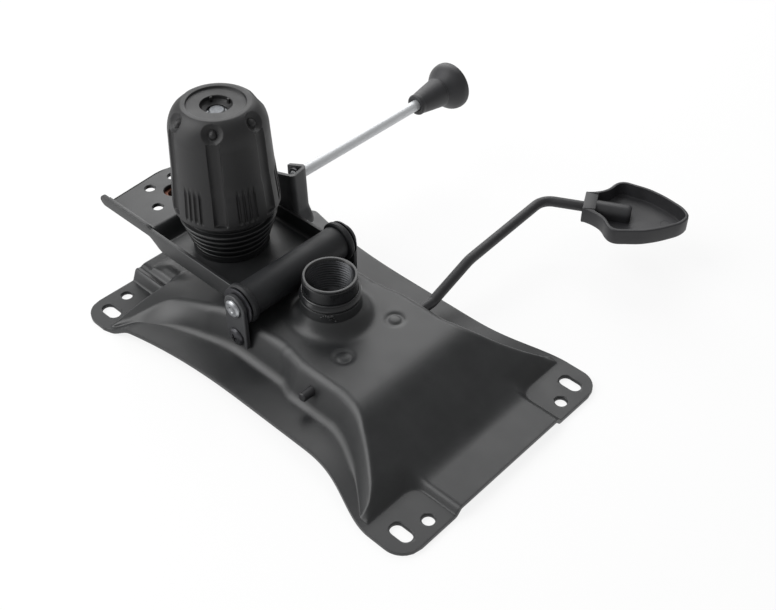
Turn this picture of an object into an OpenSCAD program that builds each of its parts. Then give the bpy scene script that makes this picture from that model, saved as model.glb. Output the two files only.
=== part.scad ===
// Push back mechanism of an office chair, shown knob up.
// The origin is the centre of the seat bolt pattern, on the face that meets the seat.
// +X points to the front of the seat, +Y to the side of the levers, +Z away from the seat.
// All sizes are in millimetres.

/* [Seat plate] */
// Sheet thickness of the pressed seat plate
plate_t = 2.5; // [2:0.1:3.2]
// Distance from the centre to the front and rear edges
plate_half_l = 141; // [130:1:150]
// Half width over the four ears
ear_half_w = 88; // [86:1:95]
// Half width of the free side edge at the waist
waist_half_w = 73; // [70:1:78]
// Corner radius of the ears
ear_corner_r = 14; // [8:1:18]
// Height of the flat top of the pressed dome
dome_h = 30.5; // [28:0.5:33]
// Height of the side flange above the seat at the waist
flange_h = 9; // [6:0.5:12]
// Height of the dome where it meets the rear tongue
dome_rear_h = 14.5; // [12:0.5:17]
// Height of the rear tongue between the ears
tongue_h = 11; // [8:0.5:12]
// Height of the dome at the front edge
front_edge_h = 6.5; // [5:0.5:9]
// Radius of the pressed edges of the dome
press_r = 5; // [3.5:0.5:6]
// Distance of the seat bolt slots from the front and rear edges
slot_inset = 14; // [11:0.5:15]
// Seat bolt slots, centre to centre along Y
slot_span_y = 150; // [146:1:154]
// Width of a seat bolt slot
slot_w = 8.5; // [6.5:0.5:9.5]
// Overall length of a seat bolt slot
slot_l = 14.5; // [12:0.5:16]
// Distance of the small round holes from the front and rear edges
pilot_inset = 9; // [7:0.5:11]
// Small round holes, centre to centre along Y
pilot_span_y = 118; // [114:1:120]
// Diameter of the small round holes
pilot_d = 7.5; // [5:0.5:8]
// Distance of the two raised dimples from the column, along X
dimple_x = 32; // [28:1:40]
// Distance of the two raised dimples from the middle, along Y
dimple_y = 22; // [16:1:26]

/* [Column socket] */
// Outside diameter of the socket tube
socket_od = 33.6; // [32:0.2:36]
// Bore of the socket tube
socket_bore = 28.4; // [27.6:0.1:29]
// Height of the socket's rim
socket_top = 61; // [56:1:66]
// Height of the socket's lower end, above the seat face
socket_foot = 16; // [14:0.5:18]
// Height of the neck that the dome is drawn up to
neck_top = 46; // [42:1:48]
// Wall of the drawn neck
neck_t = 2; // [1.5:0.1:2.5]
// Height of the welded ring on the neck
collar_h = 4.5; // [3:0.5:6]

/* [Pivot] */
// Distance of the tilt axis behind the column
pivot_back = 33.4; // [31:0.2:36]
// Height of the tilt axis
pivot_z = 44.4; // [44:0.2:48]
// Outside diameter of the cross tube
tube_od = 22; // [20:0.5:23]
// Bore of the cross tube
tube_bore = 16; // [14:0.5:17]
// Half length of the cross tube
tube_half_l = 38; // [36:0.5:39]
// Diameter of the pivot pin
pin_d = 10; // [8:0.5:11]
// Outside diameter of the bush flanges
bush_flange_d = 26; // [24:0.5:26.4]
// Thickness of the bush flanges
bush_flange_t = 4.3; // [3:0.1:4.5]
// Thickness of the thrust washers
washer_t = 1; // [0.8:0.1:1.2]
// Width of the side links
link_w = 22; // [20:0.5:24]
// Thickness of the side links
link_t = 3; // [2.5:0.1:3.5]
// Height of the link screws
link_screw_z = 22; // [20:0.5:24]
// Diameter of the heads on the pin and screws
head_d = 12.5; // [11:0.5:14]

/* [Tilt channel] */
// Sheet thickness of the channel
chan_t = 2.5; // [2:0.1:3]
// Half width over the channel's side walls
chan_half_w = 38; // [36.5:0.5:38]
// Height of the tray's floor, upper face
tray_z = 37.6; // [37:0.2:39]
// Height of the channel's side walls at the pivot end
wall_top = 48.5; // [47:0.5:50]
// Height of the raised tab, upper face
tab_z = 48; // [46:0.5:50]
// Distance behind the column where the tray rises to the tab
step_back = 118; // [118:1:122]
// Length of the slope between tray and tab
step_l = 9; // [7:0.5:12]
// Distance behind the column to the tab's rear edge
tab_back = 172; // [168:1:180]
// Distance behind the column to the rear end of the near side wall
wall_back = 177; // [176:1:184]
// Radius of the tab's far corner
tab_corner_r = 34; // [20:1:34]
// Diameter of the four backrest holes
bar_hole_d = 7; // [6:0.5:8]
// Rear pair of backrest holes, distance behind the column
bar_rear_back = 161; // [158:1:163]
// Rear pair of backrest holes, centre to centre
bar_rear_span = 19; // [16:1:24]
// Front pair of backrest holes, distance behind the column
bar_front_back = 141; // [139:1:144]
// Front pair of backrest holes, centre to centre
bar_front_span = 37; // [32:1:44]
// Distance behind the column to the welded nut under the tab
nut_back = 148; // [147:1:150]
// Diameter of the tab's clearance hole above the nut
nut_window_d = 13; // [11:0.5:14]

/* [Tension spring and knob] */
// Distance of the tension bolt behind the column
bolt_back = 90.7; // [88:0.5:93]
// Diameter of the tension bolt
bolt_d = 10; // [8:1:10]
// Height of the tension bolt's end
bolt_top = 135; // [134.5:0.5:137]
// Thread pitch of the tension bolt
bolt_pitch = 1.5; // [1.25:0.25:1.5]
// Outside diameter of the stop sleeve between seat plate and tray
sleeve_d = 18; // [16:1:20]
// Outside diameter of the spring seat
seat_d = 41.6; // [40:0.2:42.4]
// Thickness of the spring seat
seat_h = 3; // [2:0.5:4]
// Mean diameter of the compression spring
spring_d = 34; // [33:0.5:35]
// Wire diameter of the compression spring
wire_d = 5; // [4:0.5:5]
// Curls of the compression spring
spring_turns = 8; // [6:1:9]
// Outside diameter of the spring cap
cap_d = 48; // [44:1:50]
// Thickness of the spring cap
cap_t = 3.5; // [3:0.5:5]
// Width of the knob's nut across its flats
nut_af = 16; // [15:0.5:16.2]
// Height of the knob's nut
nut_h = 6.5; // [5:0.5:8]
// Height of the knob's lower rim
knob_foot = 68.8; // [68.6:0.2:71]
// Height of the knob's flat top
knob_top = 139.9; // [139:0.2:143]
// Diameter of the knob's lower rim
knob_foot_d = 67; // [65:0.5:68]
// Diameter of the knob below its shoulder
knob_shoulder_d = 60.4; // [58:0.2:62]
// Diameter of the knob's flat top
knob_flat_d = 42.4; // [40:0.2:46]
// Wall of the knob
knob_wall = 2.8; // [2.2:0.1:3.2]
// Diameter of the recessed disc in the knob's top
knob_recess_d = 36; // [30:1:38]
// Diameter of the hole in the knob's top
knob_hole_d = 19.2; // [17:0.2:20]
// Number of long flutes, with a dimple above each
flute_count = 6; // [4:1:8]
// Width of a flute
flute_w = 7.2; // [5:0.2:8]
// Depth of a flute
flute_depth = 1.6; // [1:0.1:1.8]
// Diameter of a dimple
dimple_d = 10; // [8:0.5:11]
// Angle of the first flute
flute_turn = 14; // [0:0.5:60]
// Ribs on the rubber boot
boot_ribs = 5; // [3:1:6]
// Height of the boot's lowest rib above the tray
boot_rib_z = 4.3; // [3.5:0.1:5.5]
// Diameter of the boot's top rib
boot_top_d = 61.6; // [59:0.2:62.6]
// Diameter of the boot's bottom rib
boot_foot_d = 48.8; // [48:0.2:52]

/* [Gas lever] */
// Distance of the gas lever's axis in front of the column
lever_front = 30.5; // [29:0.5:32]
// Height of the gas lever's axis
lever_z = 20; // [19:0.5:20.5]
// Diameter of the gas lever's rod
lever_d = 7; // [6:0.5:7.5]
// Side position of the lever's first bend
lever_bend1_y = 93; // [90:1:100]
// Side position of the lever's second bend
lever_bend2_y = 160; // [150:1:170]
// Height of the lever at its first bend
lever_bend1_z = 33.2; // [30:0.2:36]
// Height of the lever at its second bend
lever_bend2_z = 39.3; // [36:0.2:42]
// Angle of the paddle, from straight forward towards the side
paddle_turn = 28; // [15:1:45]
// Length of rod between the second bend and the paddle
paddle_reach = 30; // [24:1:40]
// Length of the paddle
paddle_l = 68; // [60:1:76]
// Widest width of the paddle
paddle_w = 55; // [48:1:60]
// Width of the paddle's neck
paddle_neck_w = 19.2; // [17:0.2:22]
// Depth of the paddle
paddle_h = 11.5; // [10:0.5:13]
// Wall of the paddle
paddle_wall = 2.2; // [1.6:0.1:2.6]

/* [Lock lever] */
// Distance of the lock rod behind the column
lock_back = 80; // [78:0.5:81]
// Height of the lock rod
lock_z = 67.5; // [64:0.5:67.5]
// Diameter of the lock rod
lock_d = 7.5; // [6:0.5:8]
// Side position of the lock knob's inner end
lock_knob_y = 163; // [150:1:180]
// Length of the lock knob
lock_knob_l = 41; // [36:1:46]
// Widest diameter of the lock knob
lock_knob_d = 34; // [28:1:38]
// Height of the lock bracket above the channel's wall
lug_h = 28; // [26:0.5:30]
// Length of the lock bracket along X
lug_l = 18; // [16:0.5:19]
// Depth of the lock bracket along Y
lug_w = 14; // [13:0.5:15]
// Sheet thickness of the lock bracket
lug_t = 2.5; // [2:0.1:2.8]

/* [Hidden] */
$fn = 96;

// Clearances: welded or pressed pieces, running fits and free gaps
weld_gap = 0.1;
run_gap = 0.05;
free_gap = 0.3;

// How far a cutter runs past the face that it cuts
past = 2;

pivot = [-pivot_back, 0, pivot_z];
bolt_x = -bolt_back;
// Places along X where the plate's form changes, and its rounded transitions
end_from = 60;
ear_from = 100;
slope_start = 68;
slope_end = 113.5;
rear_slope_end = -53;
rear_crest_x = -107;
rear_foot_x = -120.5;
front_crest_x = 106.5;
front_foot_x = 111.5;
tongue_crest_y = 41;
tongue_foot_y = 46.5;
pad_x = -132.5;
pad_y = 37.5;
pad_rise = 2;
soft = 3.5;
blend_from = 76;
blend_to = 92;

function clamp01(t) = min(1, max(0, t));
function ease(t) = let (s = clamp01(t)) s * s * (3 - 2 * s);
function mix(a, b, t) = a + (b - a) * t;

// Real place of a station: the middle and the ears keep their form, the part between stretches
function place(u) =
    let (grow = plate_half_l - nominal_half_l)
    abs(u) <= end_from ? u
    : abs(u) >= ear_from ? u + sign(u) * grow
    : u + sign(u) * grow * (abs(u) - end_from) / (ear_from - end_from);
// How far the side edge has flared from the waist to the ears, from 0 to 1
function flare(u) = u < 0 ? min(1, pow(u / 118, 2)) : pow(ease((u - 42) / 70), 1.5);
function edge_y(u) =
    let (w = mix(waist_half_w, ear_half_w, flare(u)),
         over = abs(place(u)) - (plate_half_l - ear_corner_r))
    over <= 0 ? w : w - ear_corner_r + sqrt(max(0, pow(ear_corner_r, 2) - pow(over, 2)));
function flange_z(u) = mix(flange_h, plate_t, flare(u));
// Lower and higher of two heights, rounded where they meet
function soft_min(a, b, k) = min(a, b) - pow(max(0, k - abs(a - b)), 2) / (4 * k);
function soft_max(a, b, k) = -soft_min(-a, -b, k);

// Foot of the dome's side wall
function base_y(u) =
    u < -25 ? 43.3 + 40.3 * pow(min(1, (-u - 25) / 84), 2)
    : u < 48 ? 43.3 + 7.3 * ease((u - 2) / 16)
    : 50.6 + 33.1 * pow(clamp01((u - 48) / 57), 1.5);
// Upper edge of the dome's side wall
function crest_y(u) =
    u < -45 ? 41.5 + 33 * pow(min(1, (-u - 45) / 63), 4)
    : u < 2 ? 41.5
    : base_y(u) - mix(1.8, 8.5, ease((u - 2) / 16));
function top_z(u) =
    u < rear_slope_end
        ? mix(dome_rear_h, dome_h, (u - rear_crest_x) / (rear_slope_end - rear_crest_x))
    : soft_max(soft_min(dome_h, mix(dome_h, front_edge_h,
                                    (u - slope_start) / (slope_end - slope_start)), 4),
               front_edge_h, 4);

// Height of the tongue between two ears, with the raised pad at the rear
function tongue_z(u, y) =
    u > 0 ? top_z(u)
    : tongue_h + pad_rise * ease((u - pad_x) / 3) * ease((pad_y - y) / 3);
// Height of the upper face in the end zones: dome, end wall and tongue above the ears
function end_z(u, y) =
    let (f = flange_z(u),
         side = f + (base_y(u) - y) * (top_z(u) - f) / (base_y(u) - crest_y(u)),
         wall = u < 0
             ? plate_t + (u - rear_foot_x) * (dome_rear_h - plate_t) / (rear_crest_x - rear_foot_x)
             : plate_t + (front_foot_x - u) * (top_z(front_crest_x) - plate_t)
                         / (front_foot_x - front_crest_x),
         dome = soft_min(soft_min(top_z(u), side, soft), wall, soft),
         step = plate_t + (tongue_foot_y - y) * (tongue_z(u, y) - plate_t)
                          / (tongue_foot_y - tongue_crest_y),
         tongue = soft_min(tongue_z(u, y), step, 2))
    soft_max(f, soft_max(dome, tongue, 2), soft);

// Rows of one column as [y, z]: crown, edge arc, wall, foot arc and flange. Towards the ears
// the crown's rows close up on the tongue's wall, and the heights follow the end zones
function column(u) =
    let (c = [crest_y(u), top_z(u)],
         b = [base_y(u), flange_z(u)],
         e = edge_y(u),
         a = atan2(c[1] - b[1], b[0] - c[0]),
         len = norm(c - b),
         t = tan(a / 2),
         r = min(press_r, 0.46 * len / t),
         rf = min(press_r, 0.46 * len / t, 0.8 * (max(e, b[0] + 3) - b[0]) / t),
         ys = c[0] - r * t,
         ye = b[0] + rf * t,
         w = tongue_foot_y,
         near = [0, 18, 32, 37, 39, tongue_crest_y, mix(tongue_crest_y, w, 0.5), w, w + 3,
                 mix(w + 3, ys, 0.35), mix(w + 3, ys, 0.7)],
         even = [0, 0.2, 0.38, 0.5, 0.6, 0.68, 0.75, 0.81, 0.87, 0.92, 0.965],
         s = u < 0 ? ease((-u - 80) / 22) : ease((u - 70) / 25),
         crown = [for (j = [0:len(near) - 1]) [mix(even[j] * ys, near[j], s), c[1]]],
         edge = [for (k = [0:1/3:1]) [ys + r * sin(a * k), c[1] - r * (1 - cos(a * k))]],
         foot = [for (k = [1:-1/3:-0.01])
                    [ye - rf * sin(a * k), b[1] + rf * (1 - cos(a * k))]],
         middle = (edge[3] + foot[0]) / 2,
         flange = [for (k = [0.5, 1]) [mix(ye, max(e, ye + 0.5), k), b[1]]],
         rows = concat(crown, edge, [middle], foot, flange),
         wide = rows[len(rows) - 1][0],
         tz = ease((abs(u) - blend_from) / (blend_to - blend_from)))
    [for (p = rows)
        let (y = p[0] <= w + 3 || abs(u) < 84 ? p[0]
                 : w + 3 + (p[0] - w - 3) * (e - w - 3) / (wide - w - 3))
        [y, mix(p[1], end_z(u, y), tz)]];

// Stations of the columns, closest where the form changes
stations = [-141, -138, -134, -132.5, -129, -124, -120.5, -117, -112, -108.5, -105.5, -102, -97,
            -91, -85, -78, -70, -62, -53, -44, -34, -22, -8, 3, 7, 10, 13, 17, 30, 44, 54, 62,
            66, 70, 75, 80, 85, 90, 95, 99, 102, 104.5, 106.5, 108, 109.5, 111, 112.5, 114, 117,
            121, 127, 134, 138, 141];
// Half length that the stations are drawn for
nominal_half_l = max(stations);

function reverse(v) = [for (i = [len(v) - 1:-1:0]) v[i]];
function full_section(u) =
    let (h = column(u))
    concat(reverse([for (i = [1:len(h) - 1]) [-h[i][0], h[i][1]]]), h);

module pressed_shell() {
    top = [for (u = stations) [for (p = full_section(u)) [place(u), p[0], p[1]]]];
    nc = len(top);
    nr = len(top[0]);
    function normal(i, j) =
        let (du = top[min(i + 1, nc - 1)][j] - top[max(i - 1, 0)][j],
             dv = top[i][min(j + 1, nr - 1)] - top[i][max(j - 1, 0)],
             n = cross(du, dv))
        n / norm(n);
    outer = [for (i = [0:nc - 1], j = [0:nr - 1]) top[i][j]];
    inner = [for (i = [0:nc - 1], j = [0:nr - 1])
                let (p = top[i][j] - plate_t * normal(i, j)) [p[0], p[1], max(0, p[2])]];
    nt = nc * nr;
    function at(i, j) = i * nr + j;
    skin = [for (i = [0:nc - 2], j = [0:nr - 2]) each
               [[at(i, j), at(i, j + 1), at(i + 1, j + 1)],
                [at(i, j), at(i + 1, j + 1), at(i + 1, j)],
                [nt + at(i, j), nt + at(i + 1, j + 1), nt + at(i, j + 1)],
                [nt + at(i, j), nt + at(i + 1, j), nt + at(i + 1, j + 1)]]];
    sides = [for (i = [0:nc - 2], s = [0, nr - 1])
                let (a = at(i, s), b = at(i + 1, s))
                each s == 0 ? [[a, b, nt + b], [a, nt + b, nt + a]]
                            : [[a, nt + b, b], [a, nt + a, nt + b]]];
    ends = [for (j = [0:nr - 2], s = [0, nc - 1])
                let (a = at(s, j), b = at(s, j + 1))
                each s == 0 ? [[a, nt + b, b], [a, nt + a, nt + b]]
                            : [[a, b, nt + b], [a, nt + b, nt + a]]];
    polyhedron(concat(outer, inner), concat(skin, sides, ends), convexity = 8);
}

// Y of the dome's side wall, outer face, at one x and height
function wall_y(x, z) =
    mix(base_y(x), crest_y(x), (z - flange_z(x)) / (top_z(x) - flange_z(x)));
// Sheet thickness of that wall measured along Y
function wall_cut(x) =
    plate_t * norm([base_y(x) - crest_y(x), top_z(x) - flange_z(x)]) / (top_z(x) - flange_z(x));

// Solid cylinder along Y between two side positions
module along_y(y0, y1, d) {
    translate([0, y0, 0])
        rotate([-90, 0, 0])
            cylinder(d = d, h = y1 - y0);
}
// Plate in the XZ plane, standing between two side positions
module wall_xz(y0, y1) {
    translate([0, y1, 0])
        rotate([90, 0, 0])
            linear_extrude(y1 - y0)
                children();
}
module both_sides() {
    children();
    mirror([0, 1, 0])
        children();
}

// Seat plate
neck_r = socket_od / 2 + weld_gap;
neck_flare = 11;
slot_reach = (slot_l - slot_w) / 2;
link_in = tube_half_l + 6.5;
link_out = link_in + link_t;
screw_d = 5;
boss_r = 7;
link_toe = 10;

module drawn_neck() {
    rim = neck_r + neck_t;
    arc = [for (a = [0:7.5:90])
              [rim + neck_flare * (1 - cos(a)), dome_h + neck_flare * (1 - sin(a))]];
    rotate_extrude()
        polygon(concat([[neck_r, dome_h - 1], [neck_r, neck_top], [rim - 0.5, neck_top],
                        [rim, neck_top - 0.5]],
                       arc, [[rim + neck_flare, dome_h - 1]]));
}
module seat_slots() {
    for (sx = [-1, 1], sy = [-1, 1])
        translate([sx * (plate_half_l - slot_inset), sy * slot_span_y / 2, -1]) {
            for (s = [-1, 1])
                translate([s * slot_reach, 0, 0])
                    cylinder(d = slot_w, h = plate_t + 2);
            translate([-slot_reach, -slot_w / 2, 0])
                cube([2 * slot_reach, slot_w, plate_t + 2]);
        }
}
module seat_plate() {
    color("#2b2c2e")
        difference() {
            union() {
                pressed_shell();
                drawn_neck();
                for (s = [-1, 1])
                    translate([dimple_x, s * dimple_y, dome_h - 3.4])
                        sphere(r = 5.2);
            }
            translate([0, 0, socket_foot])
                cylinder(r = neck_r, h = socket_top);
            seat_slots();
            for (sx = [-1, 1], sy = [-1, 1])
                translate([sx * (plate_half_l - pilot_inset), sy * pilot_span_y / 2, -1])
                    cylinder(d = pilot_d, h = plate_t + 2);
            translate([lever_front, 0, lever_z])
                along_y(-waist_half_w, waist_half_w, lever_d + 2 * run_gap);
            translate([-pivot_back, 0, link_screw_z])
                along_y(-link_in, link_in, screw_d + 0.5);
            translate([bolt_x, 0, 0])
                cylinder(d = sleeve_d + 2 * weld_gap, h = dome_h + past);
        }
}

// Column socket
module column_socket() {
    ro = socket_od / 2;
    ri = socket_bore / 2;
    color("#26272a")
        rotate_extrude()
            polygon([[ri, socket_foot], [ro - 0.8, socket_foot], [ro, socket_foot + 0.8],
                     [ro, socket_top - 1.2], [ro - 1.2, socket_top], [ri + 0.5, socket_top],
                     [ri, socket_top - 0.5]]);
}
module socket_collar() {
    ro = neck_r + neck_t;
    z0 = neck_top + weld_gap;
    color("#303134")
        rotate_extrude()
            polygon([[neck_r, z0], [ro - 0.4, z0], [ro, z0 + 0.4], [ro, z0 + collar_h * 0.5],
                     [ro - 0.5, z0 + collar_h * 0.85], [ro - 1.3, z0 + collar_h],
                     [neck_r, z0 + collar_h]]);
}

// Side links, with a boss that stands on the dome's wall round each screw
module side_link() {
    boss_end = wall_y(-pivot_back, link_screw_z - boss_r) + weld_gap;
    difference() {
        union() {
            wall_xz(link_in, link_out)
                difference() {
                    union() {
                        translate([-pivot_back, pivot_z])
                            circle(d = link_w);
                        translate([-pivot_back - link_w / 2, link_screw_z - link_toe])
                            square([link_w, pivot_z - link_screw_z + link_toe]);
                    }
                    translate([-pivot_back, pivot_z])
                        circle(d = pin_d + 2 * weld_gap);
                }
            translate([-pivot_back, 0, link_screw_z])
                along_y(boss_end, link_in + 1, 2 * boss_r);
        }
        translate([-pivot_back, 0, link_screw_z])
            along_y(boss_end - past, link_out + past, screw_d + 2 * weld_gap);
    }
}
module link_near() {
    color("#2d2e31")
        mirror([0, 1, 0])
            side_link();
}
module link_far() {
    color("#2d2e31")
        side_link();
}

// Cross-head screws and their nuts inside the dome
module link_screws() {
    x = -pivot_back;
    wall_in = wall_y(x, link_screw_z + 5) - wall_cut(x) - free_gap;
    color("#1d1e20")
        both_sides()
            translate([x, 0, link_screw_z])
                difference() {
                    union() {
                        rotate([-90, 0, 0])
                            rotate_extrude()
                                polygon([[0, wall_in - 5], [screw_d / 2, wall_in - 5],
                                         [screw_d / 2, link_out + weld_gap],
                                         [head_d / 2, link_out + weld_gap],
                                         [head_d / 2, link_out + 1],
                                         [head_d / 2 - 1.4, link_out + 2.1],
                                         [0, link_out + 2.5]]);
                        translate([0, wall_in - 4, 0])
                            rotate([-90, 0, 0])
                                cylinder(d = 9.2, h = 4, $fn = 6);
                    }
                    for (a = [0, 90])
                        rotate([0, a, 0])
                            translate([-2.6, link_out + 1.1, -0.5])
                                cube([5.2, 3, 1]);
                }
}

// Pivot pin with a zinc head outside each link
module pivot_pin() {
    h0 = link_out + weld_gap;
    color("#c9cacb")
        translate(pivot)
            rotate([-90, 0, 0])
                rotate_extrude()
                    polygon([[0, -h0 - 2], [head_d / 2 - 1.2, -h0 - 2], [head_d / 2, -h0 - 1],
                             [head_d / 2, -h0], [pin_d / 2, -h0], [pin_d / 2, h0],
                             [head_d / 2, h0], [head_d / 2, h0 + 1],
                             [head_d / 2 - 1.2, h0 + 2], [0, h0 + 2]]);
}
module thrust_washers() {
    color("#1b1b1d")
        both_sides()
            translate(pivot)
                difference() {
                    along_y(link_in - weld_gap - washer_t, link_in - weld_gap, bush_flange_d - 2);
                    along_y(link_in - 5, link_in + 1, pin_d + 2 * run_gap);
                }
}

// Tilt channel
wall_in_y = chan_half_w - chan_t;
floor_mid = tray_z - chan_t / 2;
tab_mid = tab_z - chan_t / 2;
tab_near = tab_back - 3.5;

// Middle line of the tray, its step and the tab, in X and Z
function tray_line() = concat(
    [[-pivot_back, floor_mid]],
    [for (s = [0:0.125:1]) [-step_back - step_l * s, mix(floor_mid, tab_mid, ease(s))]],
    [[-tab_back - 4, tab_mid]]);
// Sheet of thickness t along a line, its corners mitred
function sheet_path(line, t) =
    let (n = len(line),
         d = [for (i = [0:n - 2]) (line[i + 1] - line[i]) / norm(line[i + 1] - line[i])],
         m = [for (i = [0:n - 1])
                 let (a = d[max(0, i - 1)],
                      b = d[min(n - 2, i)],
                      s = a + b,
                      u = s / norm(s))
                 [-u[1], u[0]] / max(0.5, u * a)])
    concat([for (i = [0:n - 1]) line[i] + m[i] * t / 2],
           [for (i = [n - 1:-1:0]) line[i] - m[i] * t / 2]);

module tray_sheet() {
    wall_xz(-chan_half_w, chan_half_w)
        polygon(sheet_path(tray_line(), chan_t));
}
// Plan of tray and tab, with the tab's large far corner
module tray_plan() {
    r = tab_corner_r;
    polygon(concat(
        [[-pivot_back, -wall_in_y - 0.2], [-pivot_back, chan_half_w]],
        [for (a = [90:5:180]) [-tab_back + r + r * cos(a), chan_half_w - r + r * sin(a)]],
        [[-tab_near, -wall_in_y - 0.2]]));
}
module near_wall() {
    low = tray_z - chan_t;
    lift = low + 7;
    top = wall_top + 2;
    wall_xz(-chan_half_w, -wall_in_y)
        polygon([[-pivot_back, low], [-pivot_back, wall_top], [-step_back - 5, wall_top],
                 [-step_back - 12, top], [-wall_back + 4, top], [-wall_back + 1.2, top - 1.2],
                 [-wall_back, (top + lift) / 2], [-wall_back + 1.2, lift + 1.2],
                 [-wall_back + 4, lift], [-step_back - 10, lift], [-step_back + 5, low]]);
}
module far_wall() {
    low = tray_z - chan_t;
    wall_xz(wall_in_y, chan_half_w)
        polygon([[-pivot_back, low], [-pivot_back, wall_top], [-step_back - 4, wall_top],
                 [-step_back - 14, wall_top - 1.5], [-step_back - 16, wall_top - 6],
                 [-step_back - 10, low + 7], [-step_back + 5, low]]);
}
module tilt_channel() {
    color("#242527")
        difference() {
            union() {
                intersection() {
                    tray_sheet();
                    linear_extrude(100)
                        tray_plan();
                }
                near_wall();
                far_wall();
            }
            translate(pivot)
                along_y(-50, 50, tube_od + 2 * weld_gap);
            translate([-pivot_back - 3, -50, tray_z - 10])
                cube([60, 100, 60]);
            translate([bolt_x, 0, 20]) {
                for (s = [-1, 1])
                    translate([2 * s, 0, 0])
                        cylinder(d = bolt_d + 3, h = 40);
                translate([-2, -bolt_d / 2 - 1.5, 0])
                    cube([4, bolt_d + 3, 40]);
            }
            for (s = [-1, 1]) {
                translate([-bar_rear_back, s * bar_rear_span / 2, 30])
                    cylinder(d = bar_hole_d, h = 40);
                translate([-bar_front_back, s * bar_front_span / 2, 30])
                    cylinder(d = bar_hole_d, h = 40);
            }
            translate([-nut_back, 0, 30])
                cylinder(d = nut_window_d, h = 40);
        }
}
module backrest_nut() {
    color("#b98d63")
        translate([-nut_back, 0, tab_z - chan_t - weld_gap - 7])
            difference() {
                cylinder(d = 19, h = 7, $fn = 6);
                translate([0, 0, -1])
                    cylinder(d = 8, h = 9);
            }
}

// Cross tube and its flanged bushes
module cross_tube() {
    ro = tube_od / 2;
    ri = tube_bore / 2;
    color("#2a2b2e")
        translate(pivot)
            rotate([-90, 0, 0])
                rotate_extrude()
                    polygon([[ri, -tube_half_l], [ro - 0.6, -tube_half_l],
                             [ro, -tube_half_l + 0.6], [ro, tube_half_l - 0.6],
                             [ro - 0.6, tube_half_l], [ri, tube_half_l]]);
}
module flanged_bush() {
    y0 = tube_half_l + weld_gap;
    y1 = y0 + bush_flange_t;
    bore = pin_d / 2 + run_gap;
    rf = bush_flange_d / 2;
    color("#232426")
        translate(pivot)
            rotate([-90, 0, 0])
                rotate_extrude()
                    polygon([[bore, y0 - 14], [tube_bore / 2 - weld_gap, y0 - 14],
                             [tube_bore / 2 - weld_gap, y0], [rf - 0.8, y0], [rf, y0 + 0.8],
                             [rf, y1 - 1.4], [rf - 1.4, y1], [bore, y1]]);
}
module bush_far() {
    flanged_bush();
}
module bush_near() {
    mirror([0, 1, 0])
        flanged_bush();
}

// Bracket on the channel's far wall that guides the lock rod, leaning to the rear
lug_y0 = chan_half_w + weld_gap;
lug_y1 = lug_y0 + lug_w;
lug_front = lock_back - 8;
lug_rear = lock_back + lug_l - 9;
lug_top = wall_top + lug_h;

module lug_side() {
    polygon([[-lug_front + 10, tray_z], [-lug_front + 10, wall_top - 3],
             [-lug_front + 5, wall_top + 1], [-lug_front, lug_top], [-lug_rear, lug_top],
             [-lug_rear, tray_z]]);
}
module lock_bracket() {
    color("#232427")
        difference() {
            union() {
                wall_xz(lug_y0, lug_y0 + lug_t)
                    lug_side();
                wall_xz(lug_y1 - lug_t, lug_y1)
                    lug_side();
                wall_xz(lug_y0, lug_y1)
                    intersection() {
                        lug_side();
                        polygon([[-lug_front + 10 - lug_t, tray_z], [-lug_front + 30, tray_z],
                                 [-lug_front + 30, lug_top], [-lug_front - lug_t, lug_top],
                                 [-lug_front + 5 - lug_t, wall_top + 1],
                                 [-lug_front + 10 - lug_t, wall_top - 3]]);
                    }
            }
            translate([-lock_back, 0, lock_z])
                along_y(lug_y0 + lug_t + 1, lug_y1 + 1, lock_d + 2 * run_gap);
            translate([-lock_back, 0, lock_z])
                along_y(lug_y0 - 1, lug_y0 + lug_t + 2, lock_d + 2 * free_gap);
        }
}

// Tension bolt in its stop sleeve
tray_low = tray_z - chan_t;
sleeve_foot = 12;
module stop_sleeve() {
    color("#8f9194")
        translate([bolt_x, 0, 0])
            difference() {
                translate([0, 0, sleeve_foot])
                    cylinder(d = sleeve_d, h = tray_low - free_gap - sleeve_foot);
                cylinder(d = bolt_d + 2 * weld_gap, h = 60);
            }
}
module tension_bolt() {
    color("#c3c4c6")
        translate([bolt_x, 0, 0]) {
            translate([0, 0, sleeve_foot - weld_gap - 6.4])
                cylinder(d = 18, h = 6.4, $fn = 6);
            rotate_extrude()
                polygon([[0, sleeve_foot - 3], [bolt_d / 2, sleeve_foot - 3],
                         [bolt_d / 2, bolt_top - 1], [bolt_d / 2 - 1, bolt_top],
                         [0, bolt_top]]);
        }
}

// Spring seat, spring and cap
// The spring is one wire along a helix, rings of a few points each
wire_rings = 12;
wire_sides = 8;
spring_ri = (spring_d - wire_d) / 2 * cos(180 / wire_rings);
hub_foot = bolt_top - 8.5;
cap_top = hub_foot - free_gap;
module spring_seat() {
    z0 = tray_z + weld_gap;
    color("#77797c")
        translate([bolt_x, 0, 0])
            rotate_extrude()
                polygon([[8, z0], [seat_d / 2, z0], [seat_d / 2, z0 + seat_h],
                         [spring_ri - free_gap, z0 + seat_h],
                         [spring_ri - free_gap, z0 + seat_h + 4],
                         [spring_ri - 1.3, z0 + seat_h + 5], [8, z0 + seat_h + 5]]);
}
module spring_cap() {
    color("#77797c")
        translate([bolt_x, 0, 0])
            rotate_extrude()
                polygon([[bolt_d / 2 + run_gap, cap_top - cap_t - 5],
                         [spring_ri - 1.3, cap_top - cap_t - 5],
                         [spring_ri - free_gap, cap_top - cap_t - 4],
                         [spring_ri - free_gap, cap_top - cap_t], [cap_d / 2, cap_top - cap_t],
                         [cap_d / 2, cap_top], [bolt_d / 2 + run_gap, cap_top]]);
}

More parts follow.
